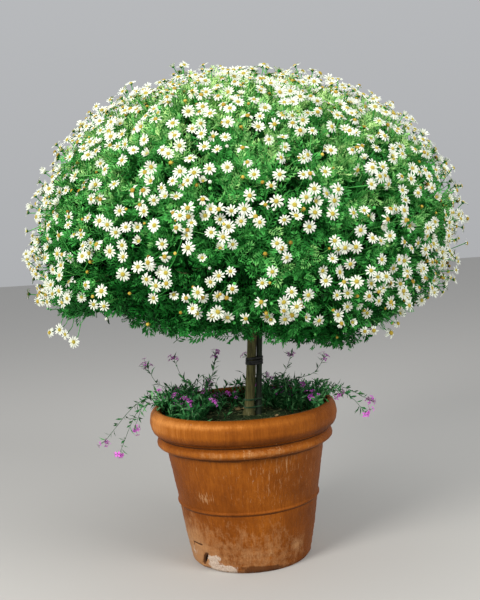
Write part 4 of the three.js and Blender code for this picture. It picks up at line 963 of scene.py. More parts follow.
def first_twigs(branches):
    starts, tips = [], []
    for index, branch in enumerate(branches):
        for _ in range(TWIGS_ON_BRANCH):
            if index == BOUGH_COUNT:
                azimuth = draw.random() * TURN
                elevation = draw.uniform(0.9, 1.5)
            else:
                azimuth = (index + draw.uniform(-0.1, 1.1)) * TURN / BOUGH_COUNT
                elevation = draw.uniform(-0.42, 1.0)
            starts.append(branch[draw.integers(5, 14)])
            tips.append(crown_point(azimuth, elevation, draw.uniform(*TWIG_TIP_LEVELS)))
    starts, tips = np.array(starts), lifted_to_edge(np.array(tips), TWIG_TIP_OVER_EDGE)
    reach = np.linalg.norm(tips - starts, axis=1, keepdims=True)
    bends = starts + unit(starts - CROWN_CENTRE + UP * 0.1) * reach * 0.3
    return bezier(starts, bends, tips - unit(tips - CROWN_CENTRE) * reach * 0.35, tips, 7)


def side_twigs(twigs):
    roots, ends = [], []
    for path in twigs:
        for _ in range(SIDE_TWIGS_ON_TWIG):
            root = path[draw.integers(3, 7)]
            heading = unit(unit(root - CROWN_CENTRE) + draw.normal(0, 0.6, 3))
            ends.append(root + heading * draw.uniform(*SIDE_TWIG_LENGTHS))
            roots.append(root)
    roots, ends = np.array(roots), np.array(ends)
    limit = crown_distance(*crown_angles(ends)) + SIDE_TWIG_TIP_LEVEL
    share = np.minimum(1, limit / np.linalg.norm(ends - CROWN_CENTRE, axis=1))
    ends = lifted_to_edge(CROWN_CENTRE + (ends - CROWN_CENTRE) * share[:, None], SIDE_TWIG_OVER_EDGE)
    middles = (roots + ends) / 2 + draw.normal(0, 0.006, roots.shape)
    return bezier(roots, middles, middles, ends, 5)


def make_twigs(branches):
    piece = Piece()
    twigs = first_twigs(branches)
    piece.tubes(twigs, np.linspace(*TWIG_RADII, 7), 4, 0, draw.uniform(-0.05, 0.1, len(twigs)))
    twigs = side_twigs(twigs)
    piece.tubes(twigs, np.linspace(*SIDE_TWIG_RADII, 5), 3, 0, draw.uniform(-0.05, 0.12, len(twigs)))
    made = piece.make("crown_twigs", [bark_brown])


# Stake and ties
def make_stake():
    piece = Piece()
    share = np.linspace(0.45, 1, 40)
    path = STAKE_FOOT + (STAKE_TOP - STAKE_FOOT) * share[:, None]
    radius = STAKE_RADIUS * (1 + 0.02 * np.sin(share * 60))
    radius[-2:] = [STAKE_RADIUS * 0.92, STAKE_RADIUS * 0.3]
    path[-1] = path[-2] + UP * 0.001
    piece.tubes(path[None], radius, 20, 0, 0.0)
    stake = piece.make("dark_stake", [stake_dark])
    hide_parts("stake")


def tie_ring(height, grow):
    """The outline of a tight loop round trunk and stake at a height."""
    share = (height - STAKE_FOOT[2]) / (STAKE_TOP[2] - STAKE_FOOT[2])
    trunk_at = np.array([trunk_lean(height), 0.0, height])
    gap = STAKE_FOOT + (STAKE_TOP - STAKE_FOOT) * share - trunk_at
    distance = np.linalg.norm(gap)
    heading = math.atan2(gap[1], gap[0])
    near_radius, far_radius = TRUNK_RADIUS + grow, STAKE_RADIUS + grow
    tangent = math.acos((near_radius - far_radius) / distance)
    half = TIE_POINTS // 2
    round_trunk = polar(near_radius, heading + np.linspace(tangent, TURN - tangent, half))
    round_stake = polar(far_radius, heading + np.linspace(-tangent, tangent, TIE_POINTS - half))
    return trunk_at + np.concatenate([round_trunk, round_stake + gap * [1, 1, 0]])


def add_ties(piece, height, width, turns):
    """Flat turns of tape or string, one over the other."""
    half = width / turns / 2 * 1.04
    section = [(0, -1), (1, -0.8), (1.15, 0), (1, 0.8), (0, 1)]
    for turn in range(turns):
        level = height + (turn - (turns - 1) / 2) * width / turns
        sway = np.sin(np.arange(TIE_POINTS) / TIE_POINTS * TURN + turn * 2.1) * width * 0.05
        rows = []
        for thick, rise in section:
            grow = 0.0004 + max(0.0004, TIE_THICKNESS * thick)
            rows.append(tie_ring(level, grow) + np.outer(half * rise + sway, UP))
        piece.add(rows, lattice((len(section), TIE_POINTS)), 0, 0.5)


def make_ties():
    piece = Piece()
    add_ties(piece, TAPE_HEIGHT, TAPE_WIDTH, 3)
    tape = piece.make("tie_band", [tape_black])
    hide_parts("tie_tape")
    for number, height in enumerate(STRING_HEIGHTS, 1):
        piece = Piece()
        add_ties(piece, height, STRING_WIDTH, 2)
        string = piece.make(f"tie_cord_{number}", [string_green])
        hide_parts(f"tie_string_{number}")


# Leaves: a midrib with narrow lobes on both sides, the larger ones toothed
def leaf_shape(pairs, lobe_length, lobe_width, bend, spread, teeth):
    shape = Piece()

    def lift(along, across=0.0):
        return -bend * along * along + 0.35 * abs(across) * spread

    rib = [(side, along, lift(along)) for along in (0, 0.5) for side in (-RIB_HALF_WIDTH, RIB_HALF_WIDTH)]
    shape.add([*rib, (0, 1.0, lift(1.0))], [(0, 1, 3), (0, 3, 2), (2, 3, 4)], 0, -0.06)
    for index in range(pairs):
        share = (index + 0.6) / pairs
        begin = np.array([0.0, 0.11 + 0.80 * share])
        for hand in (-1, 1):
            reach = lobe_length * math.sin(math.pi * (0.22 + 0.62 * share)) * draw.uniform(0.82, 1.15)
            angle = math.radians(draw.uniform(48, 62) - 22 * share)
            way = np.array([hand * math.sin(angle), math.cos(angle)])
            across = np.array([way[1], -way[0]]) * hand
            belly = begin + way * reach * 0.58
            outline = [begin, belly + across * lobe_width, begin + way * reach, belly - across * lobe_width]
            flutter = draw.normal(0, 0.045, 4)
            flutter[0] = 0
            points = [(x, y, lift(y, x) + rise) for (x, y), rise in zip(outline, flutter)]
            faces = [(0, 1, 2), (0, 2, 3)] if hand > 0 else [(0, 3, 2), (0, 2, 1)]
            shape.add(points, faces, 0, [0, 0, 0.10, 0])
            if teeth and 0 < index < pairs - 1:
                notch = begin + way * reach * 0.36
                point = notch + (across * 0.75 + way * 0.66) * reach * 0.42
                tooth = [notch, point, begin + way * reach * 0.60]
                shape.add([(x, y, lift(y, x)) for x, y in tooth], [(0, 1, 2)[::hand]], 0, 0.04)
    tip = [(-0.045, 0.90, lift(1.0)), (0.045, 0.90, lift(1.0)), (0, 1.10, lift(1.1))]
    shape.add(tip, [(0, 1, 2)], 0, 0.08)
    return shape


def scatter_leaves(pieces, shapes, turns, places, sizes, tints):
    kinds = draw.integers(0, len(shapes), len(places))
    scatter_kinds(pieces, shapes, kinds, sector_of(places), turns, places, sizes, tints)


def add_shoots(pieces, sectors, roots, tips, shade):
    for sector, piece in enumerate(pieces):
        chosen = sectors == sector
        middles = (roots[chosen] + tips[chosen]) / 2 + draw.normal(0, 0.003, (chosen.sum(), 3))
        paths = np.stack([roots[chosen], middles, tips[chosen]], axis=1)
        piece.tubes(paths, SHOOT_RADII, 3, 0, 0.18 + shade[chosen])


def grow_leaves(pieces):
    """Shoots that stand out of the crown, each with its leaves in a spiral."""
    count = SHOOT_COUNT
    leaves = [
        leaf_shape(*SHOOT_LEAF, bend, spread, True)
        for bend in (0.05, 0.16, 0.30)
        for spread in (0.6, 1.3)
    ]
    azimuth, elevation = crown_places(count, CROWN_LOWEST, 0.028)
    roots = crown_point(azimuth, elevation, draw.uniform(*SHOOT_ROOT_LEVELS, count))
    axes = unit(crown_normal(azimuth, elevation) + draw.normal(0, 0.22, roots.shape) + UP * 0.28)
    lengths = SHOOT_LENGTH * draw.uniform(0.85, 1.12, count)
    # Painted light: leaves and shoots lighter higher up the crown, partly fresher growth; painted shade in
    # the dip low on the front left
    shade = draw.normal(0, 0.07, count) + 0.50 * np.sin(elevation) - 0.07
    shade = shade - 0.30 * in_shade(azimuth, elevation)
    fringe = under(elevation, crown_lowest(azimuth) + math.radians(16), math.radians(14))
    sectors = sector_of(roots)
    add_shoots(pieces, sectors, roots, roots + axes * lengths[:, None], shade)
    first, second = frames_on(axes, draw.random(count) * TURN)[:, :, :2].transpose(2, 0, 1)
    for step in range(LEAVES_ON_SHOOT):
        share = (step + 0.5) / LEAVES_ON_SHOOT
        around = (step * 2.4 + draw.normal(0, 0.25, count))[:, None]
        sideways = first * np.cos(around) + second * np.sin(around)
        tilt = np.radians(74 - 48 * share + draw.normal(0, 8, count))[:, None]
        ways = axes * np.cos(tilt) + sideways * np.sin(tilt) + np.outer(0.10 + 0.45 * fringe, UP)
        uppers = axes * np.sin(tilt) - sideways * np.cos(tilt) + draw.normal(0, 0.18, axes.shape)
        places = roots + axes * (lengths * (0.12 + 0.88 * share))[:, None]
        sizes = LEAF_LENGTH * (1.05 - 0.42 * share ** 2) * (1 - 0.25 * fringe)
        sizes = sizes * draw.uniform(0.82, 1.15, count)
        tints = 0.22 + 0.44 * share + shade + draw.normal(0, 0.06, count)
        kinds = draw.integers(0, len(leaves), count)
        scatter_kinds(pieces, leaves, kinds, sectors, frames_along(ways, uppers), places, sizes, tints)


def grow_inner_leaves(pieces):
    """Large leaves, tinted dark as painted shade, that close the crown behind its shoots."""
    count = INNER_LEAF_COUNT
    shapes = [leaf_shape(*INNER_LEAF, bend, 0.3, False) for bend in (0.1, 0.3)]
    azimuth, elevation = crown_places(count, CROWN_LOWEST + 0.10, 0.04)
    places = crown_point(azimuth, elevation, draw.uniform(*INNER_LEAF_LEVELS, count))
    normals = crown_normal(azimuth, elevation) + draw.normal(0, 0.45, (count, 3))
    turns = frames_along(draw.normal(0, 1, (count, 3)), normals)
    places = places - turns[:, :, 1] * INNER_LEAF_LENGTH / 2
    sizes = INNER_LEAF_LENGTH * draw.uniform(0.8, 1.1, count)
    scatter_leaves(pieces, shapes, turns, places, sizes, draw.uniform(-0.04, 0.16, count))


def grow_fringe(pieces):
    """Short leaves, tinted dark as painted shade, that close the crown's lower edge."""
    count = FRINGE_LEAF_COUNT
    shapes = [leaf_shape(*FRINGE_LEAF, bend, 0.3, False) for bend in (0.05, 0.25)]
    azimuth = draw.random(count) * TURN
    elevation = crown_lowest(azimuth) + np.radians(11 * draw.random(count) ** 1.5)
    hollow = bell(azimuth, HOLLOW_AZIMUTH, HOLLOW_WIDTH)
    places = crown_point(azimuth, elevation, -0.014 - 0.020 * hollow - 0.085 * draw.random(count) ** 1.4)
    outward = crown_normal(azimuth, elevation)
    uppers = outward + draw.normal(0, 0.45, outward.shape)
    ways = draw.normal(0, 0.7, outward.shape) + outward * 0.5
    ways[:, 2] = np.abs(ways[:, 2]) - 0.25
    turns = frames_along(ways, uppers)
    sizes = FRINGE_LEAF_LENGTH * draw.uniform(0.75, 1.15, count)
    places = places - turns[:, :, 1] * (sizes / 2)[:, None]
    scatter_leaves(pieces, shapes, turns, places, sizes, draw.uniform(0.10, 0.36, count))


def grow_hanging_leaves(pieces):
    """Leaves that droop below the lower edge here and there."""
    shapes = [leaf_shape(*HANGING_LEAF, bend, 0.5, True) for bend in (0.1, 0.3)]
    for degrees, spread, count, drop in HANGING_LEAVES:
        azimuth = np.radians(draw.normal(degrees, spread, count))
        elevation = crown_lowest(azimuth) + np.radians(draw.uniform(0, 2.5, count))
        places = crown_point(azimuth, elevation, -0.012 - 0.070 * draw.random(count))
        places[:, 2] -= drop * draw.random(count)
        outward = crown_normal(azimuth, elevation)
        ways = draw.normal(0, 0.55, outward.shape) + outward * 0.4 - UP * 0.25
        turns = frames_along(ways, outward + draw.normal(0, 0.5, outward.shape))
        sizes = LEAF_LENGTH * draw.uniform(0.65, 0.95, count)
        places = places - turns[:, :, 1] * (sizes / 2)[:, None]
        # Dark tints: painted shade under the crown
        scatter_leaves(pieces, shapes, turns, places, sizes, draw.uniform(0.08, 0.36, count))


# Blooms, in four material slots: petals round a domed disc over a green cup, and the brown of spent heads
PETAL_SLOT, DISC_SLOT, CUP_SLOT, SPENT_SLOT = range(4)
PETAL_FACES = [(0, 2, 3), (0, 3, 1), (1, 3, 4), (2, 5, 3), (3, 5, 6), (3, 6, 4)]
# Petal bases darker and greener: painted shade where the petals meet the disc
PETAL_TINTS = [0.25, 0.25, 0.85, 0.85, 0.85, 0.95, 0.95]


def add_petal(shape, angle, length, width, rise, fall, twist, slot=PETAL_SLOT, tints=PETAL_TINTS):
    """Three rows of points from the disc's edge to the petal's tip, the middle one folded along the petal."""
    radial, across = polar(1, angle), polar(1, angle + TURN / 4)
    at = radial * (DISC_RADIUS * 0.80) + UP * 0.0002
    before = 0.0
    points = []
    for share, fullness in ((0.0, 0.50), (0.60, 1.0), (1.0, 0.46)):
        slope = rise + (fall - rise) * (share + before) / 2
        way = radial * math.cos(slope) + UP * math.sin(slope)
        at = at + way * (share - before) * length
        before = share
        upper = np.cross(way, across)
        half = (across * math.cos(twist) + upper * math.sin(twist)) * width * fullness / 2
        fold = [at + upper * width * 0.10] if 0 < share < 1 else []
        points += [at - half, *fold, at + half]
    shape.add(points, PETAL_FACES, slot, tints)


def add_rings(shape, rings, sides, slot, tint, top=None):
    """Rings of radius, height and tint from the lowest up, and a point on the axis if its height is given."""
    angles = np.arange(sides) * TURN / sides
    points = [polar(radius, angles, height) for radius, height, _ in rings]
    faces = [lattice((len(rings), sides))]
    tints = [tint + shade for _, _, shade in rings for _ in angles]
    if top is not None:
        last = len(rings) * sides
        points.append([(0.0, 0.0, top)])
        faces.append(fan(np.arange(last - sides, last), last))
        tints.append(tint)
    shape.add(np.concatenate(points), np.concatenate(faces), slot, tints)


def add_cup(shape, radius, depth):
    rings = [(radius * 0.22, -depth, 0.0), (radius * 0.80, -depth * 0.6, 0.0), (radius, -0.0002, 0.0)]
    add_rings(shape, rings, 6, CUP_SLOT, 0.35)


def bloom_shape(petals, rise, fall, disc_tint, missing, swell):
    shape = Piece()
    for index in range(petals):
        if index in missing:
            continue
        angle = (index + draw.uniform(-0.22, 0.22)) * TURN / petals
        length = PETAL_LENGTH * draw.uniform(0.84, 1.10)
        width = PETAL_WIDTH * draw.uniform(0.84, 1.10)
        slopes = np.radians([rise + draw.normal(0, 6), fall + draw.normal(0, 10)])
        add_petal(shape, angle, length, width, *slopes, math.radians(draw.normal(0, 9)))
    radius = DISC_RADIUS * swell
    rings = [(radius, 0.0, -0.25), (radius * 0.80, radius * 0.42, 0.0), (radius * 0.38, radius * 0.60, 0.05)]
    add_rings(shape, rings, 8, DISC_SLOT, disc_tint, radius * 0.56)
    add_cup(shape, DISC_RADIUS * 0.98, 0.0046)
    return shape


def spent_shape(shreds):
    shape = Piece()
    for index in range(shreds):
        angle = (index + draw.uniform(-0.3, 0.3)) * TURN / shreds
        add_petal(shape, angle, 0.0060, 0.0016, math.radians(-35), math.radians(-80), 0.6, SPENT_SLOT, 0.35)
    rings = [(SPENT_RADIUS, 0.0, -0.2), (SPENT_RADIUS, 0.0020, 0.0), (0.0032, 0.0040, 0.15)]
    add_rings(shape, rings, 7, SPENT_SLOT, 0.5, 0.0044)
    add_cup(shape, 0.0047, 0.0044)
    return shape


def bud_shape(opening):
    shape = Piece()
    add_cup(shape, BUD_RADIUS, 0.0036)
    rings = [(BUD_RADIUS, 0.0, 0.0), (0.0034, 0.0020, 0.05), (0.0020, 0.0038, 0.1)]
    slot, tint = (PETAL_SLOT, 0.72) if opening else (CUP_SLOT, 0.55)
    add_rings(shape, rings, 6, slot, tint, 0.0046)
    return shape


# Spent heads and buds: count, jitter, lowest and highest over the leaves, upward aim, shape, its kinds and
# how common they are, spread of tints, smallest and largest size, and depth and radius of the stalk
SMALL_HEADS = [
    (300, 0.06, (0.004, 0.034), 0.3, spent_shape, (0, 5, 8), (5, 3, 3), 0.2, (0.65, 0.95), 0.0043, 0.0008),
    (260, 0.07, (-0.004, 0.026), 0.5, bud_shape, (False, True), (3, 2), 0.05, (0.75, 1.15), 0.0034, 0.0007),
]


def read_mesh(name):
    """The points and triangles of a CAD node, with its points joined."""
    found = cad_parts[name]
    mesh = found.data
    points = np.empty(len(mesh.vertices) * 3)
    mesh.vertices.foreach_get("co", points)
    turn = np.array(found.matrix_world)
    points = points.reshape(-1, 3) @ turn[:3, :3].T + turn[:3, 3]
    mesh.calc_loop_triangles()
    faces = np.empty(len(mesh.loop_triangles) * 3, dtype=np.int32)
    mesh.loop_triangles.foreach_get("vertices", faces)
    rounded = np.round(points * 1e5).astype(int)
    _, keep, same = np.unique(rounded, axis=0, return_index=True, return_inverse=True)
    return points[keep], same.ravel()[faces].reshape(-1, 3)


def read_spray(name):
    """The middle of a modelled spray, the knot that its blooms grow from, and their places and facings."""
    points, faces = read_mesh(name)
    around = [[] for _ in points]
    for face in faces:
        for corner in face:
            around[corner].append(face)
    knot, blooms = [], []
    for index, near_faces in enumerate(around):
        others = np.unique(np.array(near_faces).ravel())
        others = others[others != index]
        away = np.linalg.norm(points[others] - points[index], axis=1)
        if len(others) == 10 and away.min() > 0.008 and away.max() < 0.027:
            corners = points[np.array(near_faces)]
            facing = unit(np.cross(corners[:, 1] - corners[:, 0], corners[:, 2] - corners[:, 0]).sum(axis=0))
            blooms.append((points[index] - facing * 0.0030, facing))
        if np.sum((away > 0.0045) & (away < 0.0061)) >= 4:
            knot.append(points[index])
    return points.mean(axis=0), np.mean(knot, axis=0), blooms


def bloom_aim(normal):
    """Blooms face outward, a little up and a little towards the sunny front."""
    return normal + [0, -0.22, 0.18 + 0.7 * max(0, -normal[2])]


def add_strays(places, facings, hubs):
    for degrees, rise, height in STRAY_BLOOMS:
        azimuth, elevation = math.radians(degrees), math.radians(rise)
        aim = bloom_aim(crown_normal(azimuth, elevation)) + [0, -0.5, 0.1]
        places.append(crown_point(azimuth, elevation, height))
        facings.append(unit(aim + draw.normal(0, 0.2, 3)))
        hubs.append(crown_point(azimuth, elevation + 0.09, -0.050))


def add_bunch(places, facings, hubs, azimuth, elevation):
    """One to five blooms from one knot, where they find room."""
    drift = math.sin(4.3 * azimuth + 1.1 + 2 * math.sin(3 * elevation))
    sparse = 0.5 + 0.5 * drift * math.sin(5.1 * elevation + 0.7)
    members = draw.choice([1, 2, 3, 4, 5], p=BUNCH_ODDS)
    if draw.random() < 0.30 * (1 - sparse):
        members = 1
    hub = crown_point(azimuth, elevation, draw.uniform(*HUB_LEVELS))
    normal = crown_normal(azimuth, elevation)
    lean = unit(normal + UP * 0.25 + draw.normal(0, 0.12, 3))
    middle = hub + lean * draw.uniform(*STALK_LENGTHS)
    for _ in range(members):
        for _ in range(BLOOM_TRIES):
            offset = draw.normal(0, 1, 3)
            offset = unit(offset - normal * (offset @ normal)) * BUNCH_RADIUS * math.sqrt(draw.random())
            offset = offset * (members > 1)
            place = middle + offset + normal * draw.normal(0, 0.006)
            free = np.min(np.sum((np.array(places) - place) ** 2, axis=1)) > BLOOM_SPACING ** 2
            if free and place[2] >= edge_height(place) + BLOOM_OVER_EDGE:
                places.append(place)
                facings.append(unit(bloom_aim(normal) + offset * 8 + draw.normal(0, 0.28, 3)))
                hubs.append(hub)
                break


def place_blooms(sprays):
    """The modelled blooms, with more between them until the crown is as full as it should be."""
    modelled = [bloom for _, _, blooms in sprays for bloom in blooms]
    places, facings = (list(column) for column in zip(*modelled))
    places = list(lifted_to_edge(np.array(places), BLOOM_OVER_EDGE))
    hubs = [knot for _, knot, blooms in sprays for _ in blooms]
    main = crown_places(CLUSTER_COUNT, BLOOM_LOWEST, 0.035)
    top = crown_places(TOP_CLUSTER_COUNT, TOP_CLUSTER_LOWEST, 0.06)
    azimuth, elevation = np.concatenate([main, top], axis=1)
    order = draw.permutation(len(azimuth))
    add_strays(places, facings, hubs)
    for index in order:
        if len(places) < BLOOM_LIMIT and in_shade(azimuth[index], elevation[index]) <= 0.4:
            add_bunch(places, facings, hubs, azimuth[index], elevation[index])
    return np.array(places), np.array(facings), np.array(hubs)


def grow_stalks(pieces, places, facings, hubs, depth, radii):
    ends = places - facings * depth
    reach = np.linalg.norm(ends - hubs, axis=1, keepdims=True)
    bends = hubs + unit(hubs - CROWN_CENTRE) * reach * 0.35
    paths = bezier(hubs, bends, ends - facings * reach * 0.35, ends, 4)
    sectors = sector_of(places)
    for sector, piece in enumerate(pieces):
        chosen = sectors == sector
        if chosen.any():
            piece.tubes(paths[chosen], radii, 3, CUP_SLOT, draw.uniform(0.38, 0.68, chosen.sum()))


def scatter_heads(pieces, shapes, weights, places, facings, tints, sizes):
    count = len(places)
    kinds = draw.choice(len(shapes), count, p=np.array(weights) / np.sum(weights))
    turns = frames_on(facings, draw.random(count) * TURN)
    sizes = draw.uniform(*sizes, count)
    scatter_kinds(pieces, shapes, kinds, sector_of(places), turns, places, sizes, tints)


def grow_main_stalks(pieces, knots):
    feet = knots - unit(knots - CROWN_CENTRE) * MAIN_STALK_LENGTH
    paths = np.stack([feet, (feet + knots) / 2, knots], axis=1)
    sectors = sector_of(knots)
    for sector, piece in enumerate(pieces):
        if (sectors == sector).any():
            piece.tubes(paths[sectors == sector], MAIN_STALK_RADIUS, 5, CUP_SLOT, 0.35)


def grow_flowers(pieces, sprays):
    grow_main_stalks(pieces, np.array([knot for _, knot, _ in sprays]))
    places, facings, hubs = place_blooms(sprays)
    shapes = [bloom_shape(*kind) for *kind, _ in BLOOM_KINDS]
    weights = [weight for *_, weight in BLOOM_KINDS]
    scatter_heads(pieces, shapes, weights, places, facings, draw.normal(0, 0.04, len(places)), BLOOM_SIZES)
    grow_stalks(pieces, places, facings, hubs, STALK_END_DEPTH, STALK_RADII)
    for count, jitter, heights, lift, shape, kinds, weights, spread, sizes, depth, radius in SMALL_HEADS:
        azimuth, elevation = crown_places(count, BLOOM_LOWEST, jitter)
        heads = crown_point(azimuth, elevation, draw.uniform(*heights, count))
        aims = unit(crown_normal(azimuth, elevation) + UP * lift + draw.normal(0, 0.25, heads.shape))
        hubs = crown_point(azimuth, elevation, -0.05) + draw.normal(0, 0.01, heads.shape)
        shapes = [shape(kind) for kind in kinds]
        scatter_heads(pieces, shapes, weights, heads, aims, draw.normal(0, spread, count), sizes)
        grow_stalks(pieces, heads, aims, hubs, depth, radius)


def make_crown():
    names = sorted(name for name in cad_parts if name.startswith("spray_"))
    sprays = [read_spray(name) for name in names]
    homes = sector_of(np.array([middle for middle, _, _ in sprays]))
    leaves = [Piece() for _ in range(BOUGH_COUNT + 1)]
    flowers = [Piece() for _ in range(BOUGH_COUNT + 1)]
    grow_leaves(leaves)
    grow_inner_leaves(leaves)
    grow_fringe(leaves)
    grow_flowers(flowers, sprays)
    grow_hanging_leaves(leaves)
    for sector in range(BOUGH_COUNT + 1):
        label = "top" if sector == BOUGH_COUNT else str(sector + 1)
        foliage = leaves[sector].make(f"foliage_{label}", [leaf_green])
        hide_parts(f"bough_{label}")
        blooms = flowers[sector].make(f"blooms_{label}", [petal_white, disc_yellow, leaf_green, spent_brown])
        owned = [name for name, home in zip(names, homes) if home == sector]
        if owned:
            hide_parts(*owned)


# Small plants round the rim of the pot
def edge_route(degrees, reach, drop, stem):
    """One of a modelled plant's stems, from the soil over the rim; the outer ones fan out and end sooner."""
    fan_out = (stem - 1) * 0.42
    crossing = min(1, reach / EDGE_CROSSING_REACH)
    crossed = EDGE_ROOT_RADIUS + (ROLL_RADIUS + 0.014 - EDGE_ROOT_RADIUS) * crossing
    end = crossed - 0.010 * crossing + reach * (1 - 0.25 * abs(stem - 1))
    route = [
        (EDGE_ROOT_RADIUS, SOIL_HEIGHT - 0.010, 0.0),
        (EDGE_ROOT_RADIUS + 0.012 * crossing, SOIL_HEIGHT + 0.040, 0.25),
        (EDGE_ROOT_RADIUS + 0.042 * crossing, RIM_HEIGHT + 0.022, 0.6),
        (crossed + reach * 0.2, RIM_HEIGHT + 0.020 - min(drop, 0.060) * 0.2, 0.85),
        (end, RIM_HEIGHT + 0.012 - drop, 1.0),
    ]
    azimuth = math.radians(degrees)
    points = [polar(radius, azimuth + fan_out * share, height) for radius, height, share in route]
    return smooth_path(np.array(points), 14)


def rim_stem():
    """A shorter stem that grows in the ring of soil behind and beside the trunk."""
    centre, width = RIM_THICKETS[draw.choice(len(RIM_THICKETS), p=RIM_SHARES)]
    degrees = draw.normal(centre, width * 0.5)
    radius = 0.188 - 0.085 * draw.random() ** 1.6 - 0.030 * over(degrees, 188, 14)
    outward = polar(1, math.radians(degrees))
    sideways = polar(1, math.radians(degrees + 90))
    root = outward * radius + UP * (SOIL_HEIGHT - 0.008)
    length = draw.uniform(*RIM_STEM_LENGTHS)
    if REAR_GAP[0] < degrees < REAR_GAP[1]:
        length *= 0.5
    lean = draw.uniform(-0.35, 0.65) + (radius - 0.15) * 6
    heading = unit(UP + outward * lean + sideways * draw.normal(0, 0.5))
    sag = -UP * draw.uniform(0.0, 0.45)
    share = np.linspace(0, 1, 6)[:, None]
    path = root + length * (heading * share + (sag + sideways * draw.normal(0, 0.1)) * share ** 2)
    level = RIM_HEIGHT + RIM_CLEARANCE
    over_rim = (np.hypot(path[:, 0], path[:, 1]) > 0.19) & (share[:, 0] > 0.3)
    path[:, 2] = np.where(over_rim, np.maximum(path[:, 2], level), path[:, 2])
    return smooth_path(path, 8), draw.random() < RIM_FLOWERING_SHARE


def narrow_leaf():
    shape = Piece()
    points = [(0, 0, 0), (0.13, 0.50, 0.03), (0, 0.48, -0.03), (-0.13, 0.50, 0.03), (0, 1.0, -0.14)]
    shape.add(points, [(0, 1, 2), (0, 2, 3), (2, 1, 4), (3, 2, 4)])
    return shape


def floret():
    """Four petals, each by its points along it, across it and up."""
    shape = Piece()
    petal = np.array([
        (0.06, 0, 0), (0.55, 0.34, 0.16), (0.60, 0, 0.06),
        (0.55, -0.34, 0.16), (1.0, 0.20, 0.05), (1.0, -0.20, 0.05),
    ])
    for index in range(4):
        angle = index * TURN / 4 + draw.normal(0, 0.12)
        axes = np.stack([polar(1, angle), polar(1, angle + TURN / 4), UP])
        faces = [(0, 1, 2), (0, 2, 3), (2, 1, 4), (2, 4, 5), (2, 5, 3)]
        shape.add(petal @ axes, faces, 0, [-0.35, 0, 0, 0, 0, 0])
    return shape


def add_stem_leaves(piece, leaf, path):
    length = np.linalg.norm(np.diff(path, axis=0), axis=1).sum()
    count = int(length / RIM_LEAF_SPACING)
    at = np.sort(draw.uniform(0.12, 1.0, count)) * (len(path) - 1)
    low = np.minimum(at.astype(int), len(path) - 2)
    steps = path[low + 1] - path[low]
    places = path[low] + steps * (at - low)[:, None]
    tangents = unit(steps)
    sides = frames_on(tangents, draw.random(count) * TURN)[:, :, 0]
    ways = sides + tangents * draw.uniform(0.3, 1.2, count)[:, None] + UP * 0.25
    turns = frames_along(ways, tangents + UP * 0.6)
    sizes = draw.uniform(*RIM_LEAF_LENGTHS, count)
    piece.scatter(leaf, turns, places, sizes, draw.uniform(0.15, 0.75, count))


def add_florets(flower_piece, stalk_piece, florets, path, heads):
    """A head of florets on short stalks at the end of a stem."""
    way = unit(path[-1] - path[-2])
    offsets = draw.normal(0, 0.0065, (heads, 3)) + way * 0.004
    places = path[-1] + offsets
    aims = unit(offsets + way * 0.008 + [0, -0.001, 0.006])
    turns = frames_on(aims, draw.random(heads) * TURN)
    sizes = draw.uniform(*FLORET_RADII, heads)
    kinds = draw.integers(0, len(florets), heads)
    for kind, shape in enumerate(florets):
        chosen = kinds == kind
        tints = draw.uniform(0.35, 0.85, chosen.sum())
        flower_piece.scatter(shape, turns[chosen], places[chosen], sizes[chosen], tints)
    stalks = np.stack([np.broadcast_to(path[-1], places.shape), places], axis=1)
    stalk_piece.tubes(stalks, 0.0005, 3, 0, 0.3)


def make_rim_plants():
    leaf_piece, flower_piece = Piece(), Piece()
    leaf, florets = narrow_leaf(), [floret(), floret()]
    stems = [(edge_route(*plant, stem), True) for plant in EDGE_PLANTS for stem in range(EDGE_STEMS)]
    stems += [rim_stem() for _ in range(RIM_STEM_COUNT)]
    for index, (path, flowering) in enumerate(stems):
        leaf_piece.tubes(path[None], np.linspace(0.0013, 0.0006, len(path)), 3, 0, 0.15)
        add_stem_leaves(leaf_piece, leaf, path)
        if flowering:
            modelled = index < len(EDGE_PLANTS) * EDGE_STEMS
            heads = draw.integers(7, 12) if modelled else draw.integers(4, 8)
            add_florets(flower_piece, leaf_piece, florets, path, heads)
    leaves = leaf_piece.make("rim_leaves", [rim_green])
    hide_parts(*[f"edge_plant_{index}" for index in range(1, 6)])
    flowers = flower_piece.make("rim_flowers", [floret_purple])
    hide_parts(*[f"edge_flowers_{index}" for index in range(1, 6)])


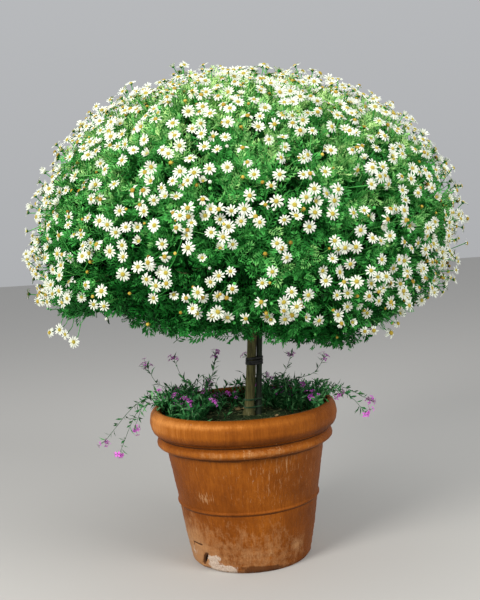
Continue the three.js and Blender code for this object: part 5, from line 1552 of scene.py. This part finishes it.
# Camera, floor and light
def make_camera():
    pitch, yaw, roll = CAMERA_PITCH, CAMERA_YAW, CAMERA_ROLL
    forward = Vector((math.sin(yaw) * math.cos(pitch), math.cos(yaw) * math.cos(pitch), -math.sin(pitch)))
    right = Vector((math.cos(yaw), -math.sin(yaw), 0.0))
    up = right.cross(forward)
    turned_right = right * math.cos(roll) + up * math.sin(roll)
    turned_up = up * math.cos(roll) - right * math.sin(roll)
    turn = Matrix((turned_right, turned_up, -forward)).transposed().to_4x4()
    data = bpy.data.cameras.new("camera")
    data.lens = CAMERA_LENS
    data.sensor_width = 36
    data.sensor_fit = "AUTO"
    camera = bpy.data.objects.new("camera", data)
    camera.matrix_world = Matrix.Translation((0, -CAMERA_DISTANCE, CAMERA_HEIGHT)) @ turn
    bpy.context.scene.collection.objects.link(camera)
    bpy.context.scene.camera = camera


def make_floor():
    bpy.ops.mesh.primitive_plane_add(size=24)
    floor = bpy.context.object
    floor.name = "floor"
    paint = Paint("floor_pale", 0.9, 0.1)
    paint.put(paint.shader, {"Base Color": (0.50, 0.49, 0.47, 1)})
    floor.data.materials.append(paint.material)


def make_world():
    """A pale surround that is brighter above than below."""
    world = bpy.data.worlds.new("studio")
    world.use_nodes = True
    tree = world.node_tree
    place = tree.nodes.new("ShaderNodeTexCoord")
    heading = tree.nodes.new("ShaderNodeSeparateXYZ")
    sky = tree.nodes.new("ShaderNodeMapRange")
    sky.inputs["From Min"].default_value = -0.5
    sky.inputs["From Max"].default_value = 1.0
    sky.inputs["To Min"].default_value = SKY_STRENGTH_BELOW
    sky.inputs["To Max"].default_value = SKY_STRENGTH_ABOVE
    tree.links.new(place.outputs["Generated"], heading.inputs[0])
    tree.links.new(heading.outputs["Z"], sky.inputs["Value"])
    tree.links.new(sky.outputs["Result"], tree.nodes["Background"].inputs["Strength"])
    tree.nodes["Background"].inputs["Color"].default_value = (0.95, 0.97, 1.0, 1)
    bpy.context.scene.world = world


def make_lights():
    for name, (place, target_height, diameter, power, colour) in LIGHTS.items():
        data = bpy.data.lights.new(name, "AREA")
        data.shape = "DISK"
        data.size = diameter
        data.energy = power
        data.color = colour
        light = bpy.data.objects.new(name, data)
        light.location = place
        aim = Vector((0, 0, target_height)) - Vector(place)
        light.rotation_euler = aim.to_track_quat("-Z", "Y").to_euler()
        bpy.context.scene.collection.objects.link(light)


make_camera()
make_floor()
make_world()
make_lights()
bpy.context.scene.view_settings.view_transform = "Standard"
make_pot()
make_soil()
make_litter()
make_dry_leaves()
make_twigs(make_wood())
make_stake()
make_ties()
make_rim_plants()
make_crown()
